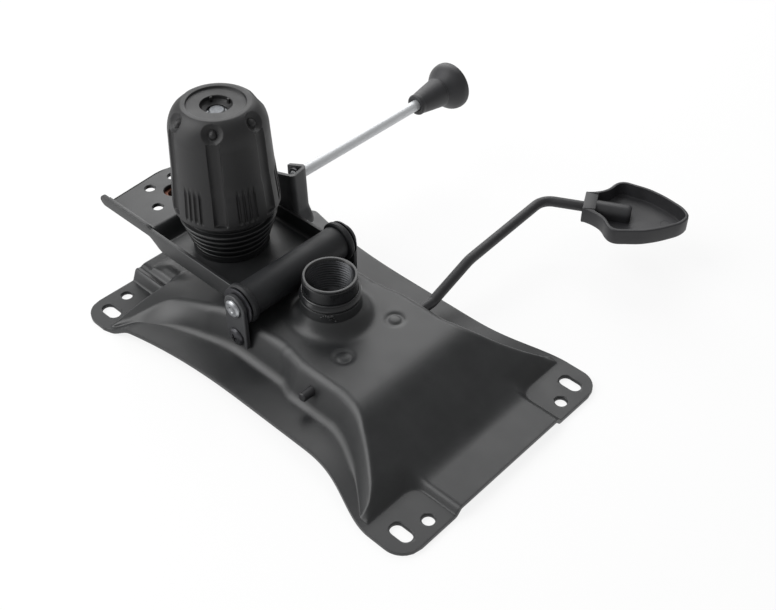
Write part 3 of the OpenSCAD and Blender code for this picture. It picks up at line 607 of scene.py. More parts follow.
# Coat on thick blanked strip: rougher than on deep drawn sheet, so it looks greyer.
STRIP_COAT = Finish("black_coat_on_blanked_strip", "black_coat", "#313234", "#3c3d3f",
    (0.44, 0.54), patch=9, grain=0.8, relief=0.014, specular=0.55)
# Coat over the turned socket and its weld: thin and bright, so its rims and the bead gleam.
SOCKET_COAT = Finish("black_coat_on_turned_socket", "black_coat", "#151617", "#1e1f21",
    (0.24, 0.34), patch=8, grain=0.6, relief=0.010)
# Bare turned bore under a thin film of oil: the tool's rings catch the light.
TURNED = Finish("turned_steel_bore", "bare_steel", "#333436", "#4a4b4d", (0.30, 0.40),
    patch=5, grain=0.5, relief=0.004, metal=0.8)
# Coat on bent wire rod: dull, slightly warm grey black.
ROD_COAT = Finish("black_coat_on_bent_rod", "rod_coat", "#202022", "#29292b", (0.44, 0.54),
    patch=9, grain=0.7, relief=0.012)
# Black zinc plating on screws: near black with a bright wet sheen.
BLACK_ZINC = Finish("black_zinc_on_steel_screw", "black_zinc", "#37373a", "#4b4b4f", (0.26, 0.38),
    patch=4, grain=0.3, relief=0.004, metal=0.7)
# Clear zinc on steel pins and bolts: white silver with cloudy patches.
ZINC = Finish("clear_zinc_on_steel", "zinc_plate", "#8e9093", "#cfd1d3", (0.26, 0.42),
    patch=3, grain=0.35, relief=0.006, metal=1.0)
# Sawn end of the tension bolt: duller and greyer than the plated pin.
SAWN_ZINC = Finish("zinc_on_sawn_bolt_end", "zinc_plate", "#55575a", "#86888b", (0.36, 0.50),
    patch=2.5, grain=0.35, relief=0.015, metal=1.0)
# Drawn rod with a matt zinc finish: pale silver, faint lines along the drawing direction.
ZINC_ROD = Finish("matt_zinc_on_drawn_rod", "zinc_rod", "#c8cacc", "#d8dadc", (0.40, 0.50),
    patch=8, grain=0.5, relief=0.003, metal=0.35, stretch=(1.0, 0.06, 1.0))
# Mill finished steel inside the mechanism: mid grey, oily.
STEEL = Finish("mill_steel", "bare_steel", "#6a6c6f", "#8a8c8f", (0.30, 0.45),
    patch=7, grain=0.6, relief=0.008, metal=1.0)
# Hardened spring wire: dark blue grey, slightly glossy.
SPRING = Finish("oil_hardened_spring_wire", "spring_steel", "#44474b", "#5c5f64", (0.28, 0.40),
    patch=5, grain=0.5, relief=0.006, metal=1.0)
# Copper plated weld nut: pink brown.
COPPER = Finish("copper_plated_weld_nut", "copper_nut", "#4e342b", "#7a5548", (0.34, 0.48),
    patch=3, grain=0.4, relief=0.006, metal=1.0)
# Synthetic rubber from a mould: dull near black that still shows soft light on its fins.
RUBBER = Finish("moulded_boot_rubber", "boot_rubber", "#161718", "#1f2021", (0.30, 0.40),
    patch=10, grain=0.5, relief=0.006)
# Glass filled nylon from a spark eroded mould: dull dark grey with a fine even grain.
NYLON = Finish("moulded_glass_filled_nylon", "black_plastic", "#1b1b1c", "#232324", (0.46, 0.56),
    patch=14, grain=0.6, relief=0.012, specular=0.42)
# Softer polypropylene of the paddle and the pull knob.
POLYPROPYLENE = Finish("moulded_polypropylene", "black_plastic", "#232325", "#2d2d30",
    (0.42, 0.54), patch=12, grain=0.55, relief=0.010)


# Housing


@dataclass
class SeatPlate:
    """Pressed seat plate with its dome, ears, drawn neck and two raised dimples.

    Attributes:
        half_l: half length along X.
        ear_w: half width at the ears.
        waist_w: half width at the waist.
        corner_r: radius of the ears' corners.
        dome_h: height of the dome's flat top.
        flange_h: height of the side flange.
        rear_h: height of the dome's top at its rear crest.
        tongue_h: height of the rear tongue.
        front_h: height of the dome's top at its front end.
        press_r: radius of the pressed edges.
        end_slope: slope of the walls round the rear tongue.
        foot_y: foot of the side wall along Y, at the waist.
        crest_y: upper edge of the side wall along Y, at the waist.
        jog: how much further out the foot is in front of the levers.
        slope_start: X where the top begins to fall to the front.
        slope_end: X where that fall ends.
        rear_slope_end: X where the top begins to fall to the rear.
        rear_crest: X of the rear wall's upper edge.
        rear_foot: X of the rear wall's foot.
        front_foot: X of the front wall's foot.
        tongue_crest: upper edge of the tongue's side wall along Y.
        tongue_foot: foot of the tongue's side wall along Y.
        pad_x: X of the tongue pad's rear edge.
        pad_y: half width of the tongue's pad.
        pad_rise: height of the tongue's pad.
        neck_r: inner radius of the neck.
        neck_top: height of the neck's rim.
        neck_wall: thickness of the neck.
        neck_flare: width of the flare round the neck.
        neck_rise: height of that flare.
        dimple: X and Y of the dimples.
        slot_at: X and Y of the slots.
        slot_size: length and width of a slot.
        hole_at: X and Y of the round holes in the ears.
        hole_r: radius of those holes.
        punch_r: how much a punched edge widens.
        bolt_hole_r: radius of the tension bolt's hole.
    """

    half_l: float = 141.0
    ear_w: float = 88.0
    waist_w: float = 73.0
    corner_r: float = 14.0
    dome_h: float = 30.5
    flange_h: float = 9.0
    rear_h: float = 14.5
    tongue_h: float = 11.0
    front_h: float = 6.5
    press_r: float = 6.8
    end_slope: float = 2.4
    foot_y: float = 47.2
    crest_y: float = 41.4
    jog: float = 4.4
    slope_start: float = 68.0
    slope_end: float = 113.0
    rear_slope_end: float = -53.0
    rear_crest: float = -110.0
    rear_foot: float = -115.5
    front_foot: float = 110.6
    tongue_crest: float = 42.5
    tongue_foot: float = 47.0
    pad_x: float = -132.5
    pad_y: float = 37.5
    pad_rise: float = 2.0
    neck_r: float = 16.9
    neck_top: float = 46.0
    neck_wall: float = 2.0
    neck_flare: float = 12.5
    neck_rise: float = 8.5
    dimple: tuple[float, float] = (32.0, 22.0)
    slot_at: tuple[float, float] = (127.0, 75.0)
    slot_size: tuple[float, float] = (14.5, 8.5)
    hole_at: tuple[float, float] = (132.0, 59.0)
    hole_r: float = 3.75
    punch_r: float = 0.35
    bolt_hole_r: float = 9.1

    def flare(self, u: Array) -> Array:
        """Share of the way from waist to ears: a power law to the rear, an S to the front."""
        return np.where(u < 0, np.minimum(1, np.abs(u / 118) ** 2.4), ease((u - 45) / 70) ** 1.7)

    def edge(self, u: Array) -> Array:
        """Half width of the plate, with a quarter circle at each ear's corner.

        Args:
            u: stations along X.

        Returns:
            Half width at each station.
        """
        w = mix(self.waist_w, self.ear_w, self.flare(u))
        over = np.abs(u) - (self.half_l - self.corner_r)
        drop = self.corner_r - np.sqrt(np.maximum(0, self.corner_r ** 2 - over ** 2))
        return np.where(over <= 0, w, w - drop)

    def flange(self, u: Array) -> Array:
        """Height of the side flange: level behind the waist, then down to the ears."""
        rear = ease((-u - 98) / 16)
        return mix(self.flange_h, AT.sheet, np.where(u < 0, rear, self.flare(u)))

    def base(self, u: Array) -> Array:
        """Foot of the dome's side wall along Y, with its jog in front of the levers.

        Args:
            u: stations along X.

        Returns:
            Distance of the foot from the middle plane.
        """
        rear = self.foot_y + 36.5 * np.clip((-u - 30) / 84, 0, 1) ** 1.8
        front = self.foot_y + self.jog + 32.1 * np.clip((u - 50) / 55, 0, 1) ** 1.6
        return np.where(u < -30, rear,
                        np.where(u < 48, self.foot_y + self.jog * ease((u - 5) / 14), front))

    def crest(self, u: Array) -> Array:
        """Upper edge of the dome's side wall along Y.

        Args:
            u: stations along X.

        Returns:
            Distance of the edge from the middle plane.
        """
        rear = self.crest_y + 0.115 * np.clip(-u - 20, 0, 99) + 24 * np.clip(
            (-u - 88) / 20, 0, 1.1) ** 2
        rear = np.minimum(rear, self.base(u) - 7)
        width = mix(self.foot_y - self.crest_y, 8.2, ease((u - 7) / 10)) + 1.3 * ease(
            (u - 55) / 15)
        return np.where(u < 2, rear, self.base(u) - width)

    def top(self, u: Array) -> Array:
        """Height of the dome: flat in the middle, sloping to both ends.

        Args:
            u: stations along X.

        Returns:
            Height at each station.
        """
        rear = mix(self.rear_h, self.dome_h,
                   (u - self.rear_crest) / (self.rear_slope_end - self.rear_crest))
        front = mix(self.dome_h, self.front_h,
                    (u - self.slope_start) / (self.slope_end - self.slope_start))
        level = soft_min(np.where(u < 0, rear, front), self.dome_h + 0 * u, 4.5)
        return np.where(u < 0, level, soft_max(level, self.front_h + 0 * u, 3.0))

    def ends(self, u: Array, y: Array) -> Array:
        """Height in the end zones: ears, side and end walls, tongue.

        Walls rise from their foot lines at a steady slope. In front one wall goes round the
        ear: its distance inwards is the softly greater one of those from the end wall's foot
        and from the tongue's. At the rear the tongue is a lower level of its own.

        Args:
            u: stations along X.
            y: distances from the middle plane.

        Returns:
            Height at each point.
        """
        f, top = self.flange(u), self.top(u)
        m = self.end_slope
        side_m = (top - f) / (self.base(u) - self.crest(u))
        hip = AT.sheet + 0.5 * (0.545 * (u - self.rear_foot) + 0.838 * (84.5 - y))
        top = np.where(u < 0, soft_min(top + 0 * y, hip, 8.0), top + 0 * y)
        dome = bend(top, f + (self.base(u) - y) * side_m, side_m, self.press_r, top - f)
        inside = soft_max(self.front_foot - u, self.tongue_foot - y, 9.0)
        front = bend(dome, AT.sheet + inside * 1.15, 1.15, 4.5, dome - f)
        rear = bend(dome, AT.sheet + (u - self.rear_foot) * m, m, 2.2, dome - f)
        step = AT.sheet + (self.tongue_foot - y) * m
        tongue = bend(self.tongue(u, y), step, m, 3.0, self.tongue_h - f)
        z = np.where(u > 0, front, soft_max(rear, tongue, 3.0))
        return np.where(u > 0, -bend(-f, -z, 1.15, 4.5, z - f), -bend(-f, -z, m, 3.5, z - f))

    def tongue(self, u: Array, y: Array) -> Array:
        """Rear tongue: a groove inside its rim, a raised pad with a round hump on each side.

        Args:
            u: stations along X.
            y: distances from the middle plane.

        Returns:
            Height at each point.
        """
        groove = 1.3 * np.exp(-((y - 40.2) / 2.4) ** 2)
        pad = self.pad_rise * ease((u - self.pad_x + 1.5) / 3) * ease((self.pad_y + 1.5 - y) / 3)
        hump = 2.4 * np.exp(-((y - 29.5) / 4.8) ** 2) * ease((u + 132) / 10)
        return self.tongue_h - groove + pad + hump

    def dimples(self, u: Array, y: Array) -> Array:
        """Height of the dished ring and ball about one dimple, by distance from its centre.

        Args:
            u: stations along X.
            y: distances from the middle plane.

        Returns:
            Height that is added at each point.
        """
        r = np.hypot(u - self.dimple[0], y - self.dimple[1])
        pocket = np.clip(1 - (r / 9.0) ** 2, 0, 1) ** 3
        return 2.5 * soft_max(1 - (r / 4.7) ** 2, 0 * r, 0.2) - 2.3 * pocket

    def half(self, u: Array) -> tuple[Array, Array]:
        """Half sections at the stations u.

        A section is the flat crown, an arc, the wall, an arc and the flange. Both arcs are
        tangent to wall and flats. Towards the ears the crown's rows close up on the tongue.

        Args:
            u: stations along X.

        Returns:
            Y and Z of each row, stations x rows.
        """
        u = u[:, None]
        cy, cz, by, bz, e = self.crest(u), self.top(u), self.base(u), self.flange(u), self.edge(u)
        a = np.arctan2(cz - bz, by - cy)
        t = np.tan(a / 2)
        r = np.minimum(self.press_r, 0.46 * np.hypot(cy - by, cz - bz) / t)
        rf = np.minimum(r, np.maximum(0.1, 0.8 * (np.maximum(e, by + 3) - by) / t))
        ys, ye = cy - r * t, by + rf * t
        wide = np.maximum(e, ye + 0.5)
        w = self.tongue_foot
        fixed = [0, 18, 32, 37, 39, self.tongue_crest, mix(self.tongue_crest, w, 0.5), w, w + 3]
        near = np.hstack([np.ones_like(u) * fixed, mix(w + 3, ys, 0.35), mix(w + 3, ys, 0.7), ys])
        even = np.array([0, 0.2, 0.38, 0.5, 0.6, 0.68, 0.75, 0.81, 0.87, 0.92, 0.965, 1])
        s = np.where(u < 0, ease((-u - 80) / 22), ease((u - 70) / 25))
        knots = mix(even * ys, near, s)
        k = np.linspace(0, 11, 55)[:-1]
        low = k.astype(int)
        crown = mix(knots[:, low], knots[:, low + 1], k - low)
        g, m, out = np.linspace(0, 1, 9), np.linspace(0, 1, 6)[1:-1], np.linspace(0, 1, 12)[1:]
        arc, back = a * g, a * (1 - g)
        edge_y, edge_z = ys + r * np.sin(arc), cz - r * (1 - np.cos(arc))
        foot_y, foot_z = ye - rf * np.sin(back), bz + rf * (1 - np.cos(back))
        y = np.hstack([crown, edge_y, mix(edge_y[:, -1:], foot_y[:, :1], m), foot_y,
                       mix(ye, wide, out)])
        z = np.hstack([cz + 0 * crown, edge_z, mix(edge_z[:, -1:], foot_z[:, :1], m), foot_z,
                       bz + 0 * out])
        far = (y > w + 3) & (np.abs(u) >= 84)
        y = np.where(far, w + 3 + (y - w - 3) * ((e - w - 3) / (wide - w - 3)), y)
        return y, mix(z, self.ends(u, y), ease((np.abs(u) - 78) / 14)) + self.dimples(u, y)

    def stations(self) -> Array:
        """Stations along X, about 1 mm apart where the form changes and 2 to 2.6 mm elsewhere.

        Returns:
            X of each station.
        """
        marks = np.array([-141, -138, -106, -56, 0, 4, 44, 64, 96, 120, 141], float)
        steps = np.array([1.0, 0.9, 2.3, 2.6, 2.0, 0.8, 2.6, 2.2, 0.8, 1.8])
        runs = [np.arange(a, b - 0.3, s) for a, b, s in zip(marks[:-1], marks[1:], steps)]
        return np.concatenate(runs + [marks[-1:]])

    def shell(self) -> bpy.types.Object:
        """Sheet of even thickness under the pressed surface, its rims rounded.

        Returns:
            The sheet, without its holes.
        """
        u = self.stations()
        y, z = self.half(u)
        y = np.concatenate([-y[:, :0:-1], y], 1)
        z = np.concatenate([z[:, :0:-1], z], 1)
        top = points(u[:, None], y, z)
        normal = np.cross(np.gradient(top, axis=0), np.gradient(top, axis=1))
        normal /= np.linalg.norm(normal, axis=2, keepdims=True)
        low = top - AT.sheet * normal
        low[..., 2] = np.maximum(0, low[..., 2])
        rims = [[top[0], low[0]], [top[-1], low[-1]], [top[:, 0], low[:, 0]],
                [top[:, -1], low[:, -1]]]
        skin = Skin().grid(top).grid(low)
        for rim in rims:
            skin.grid(np.array(rim))
        obj = as_object(skin.mesh("seat_plate_pressing"))
        self.round_rims(obj)
        return obj

    def round_rims(self, obj: bpy.types.Object) -> None:
        """Rounds the sheet's rim by 0.5 mm, on every edge sharper than 50 degrees.

        Args:
            obj: the sheet, changed in place.
        """
        bm = bmesh.new()
        bm.from_mesh(obj.data)
        rims = [e for e in bm.edges if len(e.link_faces) == 2
                and e.calc_face_angle(0) > math.radians(50)]
        bmesh.ops.bevel(bm, geom=rims, offset=0.5 * MM, segments=2, profile=0.6,
                        affect="EDGES", clamp_overlap=True)
        bm.to_mesh(obj.data)
        bm.free()

    def holes(self) -> Skin:
        """Cutters for slots, round holes, lever, screws, bolt and neck.

        The punched ones widen a little at the upper face, which breaks the edge.

        Returns:
            All cutters as one skin.
        """
        skin = Skin()
        t, wide = AT.sheet, self.punch_r
        steps = [(-2, 0), (t - wide, 0), (t, wide), (t + 3, wide + 3)]
        for side in ((-1, -1), (-1, 1), (1, -1), (1, 1)):
            for line in (self.slot() + np.multiply(self.slot_at, side),
                         circle(self.hole_r, 40, np.multiply(self.hole_at, side))):
                skin.loft([(inset(line, -d), z) for z, d in steps])
        for centre, r, far in ((AT.gas, 3.15, 3.8), (AT.screw, 2.9, 2.9)):
            skin.revolve([(0, -72), (r, -72), (r, 0), (far, 0.1), (far, 72), (0, 72)], centre,
                         "Y", 40)
        r = self.bolt_hole_r
        skin.revolve([(0, -5), (r, -5), (r, 40), (0, 40)], AT.bolt, n=64)
        edge = self.neck_r + self.neck_wall + self.neck_flare - 0.4
        return skin.revolve([(0, 24), (edge, 24), (edge, 40), (0, 40)], AT.middle)

    def slot(self) -> Array:
        """Outline of a slot along X, about its own centre.

        Returns:
            Closed outline.
        """
        a = np.linspace(-np.pi / 2, np.pi / 2, 17)
        r = self.slot_size[1] / 2
        end = points(self.slot_size[0] / 2 - r + r * np.cos(a), r * np.sin(a))
        return np.concatenate([end, -end])

    def neck(self) -> Skin:
        """Neck drawn up round the column socket, on a flare of height rise (1 - s)^3.

        Returns:
            Its surface.
        """
        s = np.linspace(0.06, 1, 24)
        rim, hole = self.neck_r + self.neck_wall, self.neck_r
        rise = self.neck_rise * (1 - s) ** 3
        out = points(rim + self.neck_flare * s, self.dome_h + rise)
        foot = self.dome_h + self.neck_rise
        inner = points(hole + (self.neck_flare + self.neck_wall) * s, self.dome_h + rise - AT.sheet)
        upper = fillet([(hole, foot - AT.sheet, 0), (hole, self.neck_top, 0.4),
                        (rim, self.neck_top, 0.5), (rim, foot, 1.5), tuple(out[0]) + (0,)], steps=5)
        profile = np.concatenate([upper[:-1], out, inner[::-1]])
        return Skin().revolve(profile, AT.middle, n=144)

    def build(self) -> None:
        """Makes the pressing, lets it ride on the housing and hides its node."""
        obj = self.shell()
        cut(obj, self.holes())
        join(obj, self.neck())
        dress(obj, COAT, Body.HOUSING, "seat_plate", crease=50)


@dataclass
class ColumnSocket:
    """Socket tube with a turned bore, the ring welded round it, and weld spatter.

    Attributes:
        outer: outer radius of the tube.
        bore: radius of its bore.
        foot: height of its lower end.
        top: height of its rim.
        ring_z: height of the ring's lower face.
        ring_h: height of the ring itself.
        ring_r: outer radius of the ring.
        ring_bore: inner radius of the ring.
        grooves: number of turning marks.
        groove_pitch: distance between two marks.
        groove_depth: depth of a mark, drawn deeper than real so that it shows.
    """

    outer: float = 16.8
    bore: float = 14.2
    foot: float = 16.0
    top: float = 61.0
    ring_z: float = 46.1
    ring_h: float = 4.5
    ring_r: float = 19.0
    ring_bore: float = 16.9
    grooves: int = 11
    groove_pitch: float = 1.9
    groove_depth: float = 0.7

    def tube(self) -> Skin:
        """Outer wall, rim and foot of the tube, with a bead at the rim's outer edge.

        Returns:
            Its surface.
        """
        outer = fillet([(self.bore + 0.9, self.foot, 0), (self.outer, self.foot, 0.6),
                        (self.outer, self.top - 1.6, 0.2), (self.outer - 0.25, self.top - 1.3, 0),
                        (self.outer - 0.1, self.top, 0.7), (self.bore + 0.7, self.top, 0.5),
                        (self.bore + 0.1, self.top - 1.2, 0),
                        (self.bore + 0.9, self.top - 1.6, 0)], steps=4)
        return Skin().revolve(outer, AT.middle, n=144)

    def bore_wall(self) -> Skin:
        """Thin liner that carries the turning marks: V cuts, one pitch apart, from the rim.

        Returns:
            Its surface.
        """
        z = self.top - 2.0 - np.arange(self.grooves) * self.groove_pitch
        groove = ((self.bore, 0), (self.bore + self.groove_depth, 0.5), (self.bore, 0.86))
        marks = [(r, level - share * self.groove_pitch) for level in z for r, share in groove]
        back = self.bore + 0.95
        return Skin().revolve(marks + [(self.bore, self.foot + 0.2), (back, self.foot + 0.2),
                                       (back, self.top - 1.2)], AT.middle, n=144)

    def ring(self) -> Skin:
        """Rounded ring on the neck: a half oval with a lower lip and a dark step under it.

        Returns:
            Its surface.
        """
        z, h, r = self.ring_z, self.ring_h, self.ring_r
        profile = fillet([(self.ring_bore, z, 0), (r - 0.9, z, 0.2), (r - 0.9, z + 0.35, 0.1),
                          (r, z + 0.5, 0.25), (r, z + 1.1, 0.2), (r - 0.15, z + 0.45 * h, 1.2),
                          (r - 1.5, z + h, 1.3), (self.ring_bore, z + h, 0)], steps=5)
        return Skin().revolve(profile, AT.middle, n=144)

    def spatter(self) -> Skin:
        """Weld bead round the ring's top, as a lumpy torus, and a few drops under the ring.

        Returns:
            All lumps as one skin.
        """
        a, b = turns(160)[:, None], turns(10)
        lump = 0.75 + 0.05 * np.sin(7 * a) + 0.03 * np.sin(19 * a + 1)
        r = 17.3 + lump * np.cos(b)
        z = self.ring_z + self.ring_h - 0.1
        skin = Skin().grid(points(r * np.cos(a), r * np.sin(a), z + lump * np.sin(b)), ring=True,
                           loop=True)
        drops = [(-52, 44.6, 1.3), (-47, 43.9, 1.5), (-57, 44.2, 0.9), (-42, 44.4, 1.1),
                 (-45, 41.9, 1.0), (-39, 43.0, 0.8), (-62, 42.9, 0.7), (-36, 40.6, 0.7)]
        for turn, height, size in drops:
            t = math.radians(turn)
            out = 18.7 + 0.14 * max(0, 42 - height) ** 2
            blob(skin, (out * math.cos(t), out * math.sin(t), height), size)
        return skin

    def build(self) -> None:
        """Makes tube, bore, ring and spatter."""
        piece("column_socket_tube", self.tube(), SOCKET_COAT, Body.HOUSING, "column_socket",
              crease=45)
        piece("column_socket_bore", self.bore_wall(), TURNED, Body.HOUSING, crease=30)
        piece("socket_weld_ring", self.ring(), SOCKET_COAT, Body.HOUSING, "socket_collar")
        piece("socket_weld_spatter", self.spatter(), SOCKET_COAT, Body.HOUSING, crease=80)


def blob(skin: Skin, centre: Sequence[float], size: float) -> None:
    """Adds a lumpy drop: a sphere whose radius varies by two sines of its angles.

    Args:
        skin: the skin that takes the drop.
        centre: middle of the drop.
        size: mean radius.
    """
    a, b = turns(14), np.linspace(-np.pi / 2, np.pi / 2, 9)[:, None]
    r = size * (1 + 0.16 * np.sin(3 * a + centre[0]) * np.cos(b) + 0.1 * np.sin(2 * b))
    pts = points(r * np.cos(b) * np.cos(a), r * np.cos(b) * np.sin(a), r * np.sin(b))
    skin.grid(pts + np.array(centre), ring=True)


@dataclass
class Pivot:
    """Side links, cross-head screws, riveted pin, tube, bushes and washers.

    Attributes:
        link_in: inner face of the links along Y.
        link_t: thickness of a link.
        link_w: width of a link.
        link_toe: how far a link reaches below its screw.
        wall_y: outer face of the dome's wall along Y, where washers start too.
        head_r: radius of the screws' and the pin's heads.
        pin_r: radius of the pin.
        washer_r: outer radius of a washer.
        tube_r: inner and outer radius of the cross tube.
        tube_half: half length of the cross tube.
        cross: reach and half width of the recess's arms.
        cross_turn: turn of the recess in degrees.
    """

    link_in: float = 44.5
    link_t: float = 3.0
    link_w: float = 17.6
    link_toe: float = 6.4
    wall_y: float = 43.4
    head_r: float = 6.25
    pin_r: float = 5.0
    washer_r: float = 12.0
    tube_r: tuple[float, float] = (8.0, 11.0)
    tube_half: float = 38.0
    cross: tuple[float, float] = (3.2, 0.62)
    cross_turn: float = math.degrees(0.35)

    def link(self, side: int) -> Skin:
        """Flat link with a round top, a boss between its foot and the dome's wall.

        Args:
            side: -1 for the near one, 1 for the far one.

        Returns:
            Its surface.
        """
        x, _, z = AT.pivot
        r, low = self.link_w / 2, AT.screw[2] - self.link_toe
        a = np.linspace(0, np.pi, 33)
        line = np.concatenate([points(x + r * np.cos(a), z + r * np.sin(a)),
                               [(x - r, low + 1), (x - r + 1, low), (x + r - 1, low),
                                (x + r, low + 1)]])
        y0, y1 = self.link_in, self.link_in + self.link_t
        skin = Skin().prism(line, *sorted((side * y0, side * y1)), "XZ", edge=0.45)
        depth = y0 - self.wall_y + 0.3
        boss = np.array([(0, 0), (7, 0), (7, depth), (0, depth)]) * (1, side)
        return skin.revolve(boss + (0, side * self.wall_y), AT.screw, "Y", 48)

    def rivet(self, side: int) -> Skin:
        """Riveted pin head: a flat disc with a turned rim and a shallow punched centre.

        Args:
            side: -1 for the near one, 1 for the far one.

        Returns:
            Its surface.
        """
        y = self.link_in + self.link_t + 0.05
        h = self.head_r
        profile = fillet([(0, 1.5, 0), (1.6, 1.5, 0.4), (2.2, 2.0, 0.3), (h - 1.6, 2.05, 0.5),
                          (h - 0.3, 1.3, 0.7), (h, 0.0, 0.3), (0, 0.0, 0)], steps=4)
        return Skin().revolve(profile * (1, side) + (0, side * y), AT.pivot, "Y", 64)

    def screw(self, side: int, name: str) -> bpy.types.Object:
        """Pan head screw with a cross recess, its shank and the nut inside the dome.

        Args:
            side: -1 for the near one, 1 for the far one.
            name: the piece's name.

        Returns:
            The screw.
        """
        y, h = self.link_in + self.link_t + 0.1, self.head_r
        head = fillet([(0, 2.5, 0), (2.6, 2.4, 1.0), (4.9, 1.9, 1.2), (h - 0.1, 0.9, 0.7),
                       (h, 0, 0.2), (2.5, 0, 0), (2.5, -13, 0), (0, -13, 0)], steps=4)
        obj = as_object(Skin().revolve(head * (1, side) + (0, side * y), AT.screw, "Y", 64)
                        .mesh(name))
        a, b = self.cross
        arms = [turned(np.array([(b, a), (-b, a), (-b, b)]), 90 * k) for k in range(4)]
        line = turned(np.concatenate(arms), self.cross_turn)
        place = (AT.screw[0], AT.screw[2])
        cut(obj, Skin().loft([(line * 0.5 + place, side * (y + 0.6)),
                              (line * 1.1 + place, side * (y + 3.2))], "XZ"))
        nut = circle(5.3, 6, place)
        join(obj, Skin().loft([(nut, side * (y - 12.6)), (nut, side * (y - 8.8))], "XZ"))
        return obj

    def tube(self) -> Skin:
        """Cross tube with chamfered ends.

        Returns:
            Its surface.
        """
        (low, high), y = self.tube_r, self.tube_half
        line = fillet([(low, -y, 0.3), (high, -y, 0.7), (high, y, 0.7), (low, y, 0.3)], steps=3)
        return Skin().revolve(line, AT.pivot, "Y", 96)

    def bush(self, side: int) -> Skin:
        """Flanged bush: a shank in the tube, and a flange with a rounded rim and a groove.

        Args:
            side: -1 for the near one, 1 for the far one.

        Returns:
            Its surface.
        """
        line = fillet([(5.1, 24.2, 0), (7.9, 24.2, 0.3), (7.9, 38.1, 0), (12.4, 38.1, 0.5),
                       (13, 38.9, 0.6), (13, 40.9, 1.1), (11.9, 42.4, 0.9), (9.6, 42.4, 0.2),
                       (9.2, 41.9, 0.2), (5.1, 41.9, 0)], steps=4)
        return Skin().revolve(line * (1, side), AT.pivot, "Y", 96)

    def washer(self, side: int) -> Skin:
        """Thin thrust washer."""
        line = rounded_box(self.pin_r + 0.1, self.wall_y, self.washer_r, self.link_in - 0.1, 0.25)
        return Skin().revolve(line * (1, side), AT.pivot, "Y", 72)

    def build(self) -> None:
        """Makes the pivot's pieces on the housing and on the tilting channel."""
        for side, word in ((-1, "near"), (1, "far")):
            piece(f"side_link_{word}", self.link(side), STRIP_COAT, Body.HOUSING,
                  f"link_{word}")
            piece(f"pivot_bush_{word}", self.bush(side), TUBE_COAT, Body.TILT, f"bush_{word}")
        dress(self.screw(-1, "link_screw_near"), BLACK_ZINC, Body.HOUSING, "link_screws")
        dress(self.screw(1, "link_screw_far"), BLACK_ZINC, Body.HOUSING)
        pin = self.rivet(-1).add(self.rivet(1))
        r, y = self.pin_r, self.link_in + self.link_t + 0.1
        pin.revolve([(0, -y), (r, -y), (r, y), (0, y)], AT.pivot, "Y", 48)
        piece("pivot_rivet_pin", pin, ZINC, Body.HOUSING, "pivot_pin")
        piece("pivot_thrust_washers", self.washer(-1).add(self.washer(1)), BLACK_ZINC,
              Body.HOUSING, "thrust_washers")
        piece("pivot_cross_tube", self.tube(), TUBE_COAT, Body.TILT, "cross_tube")


# Tilting channel


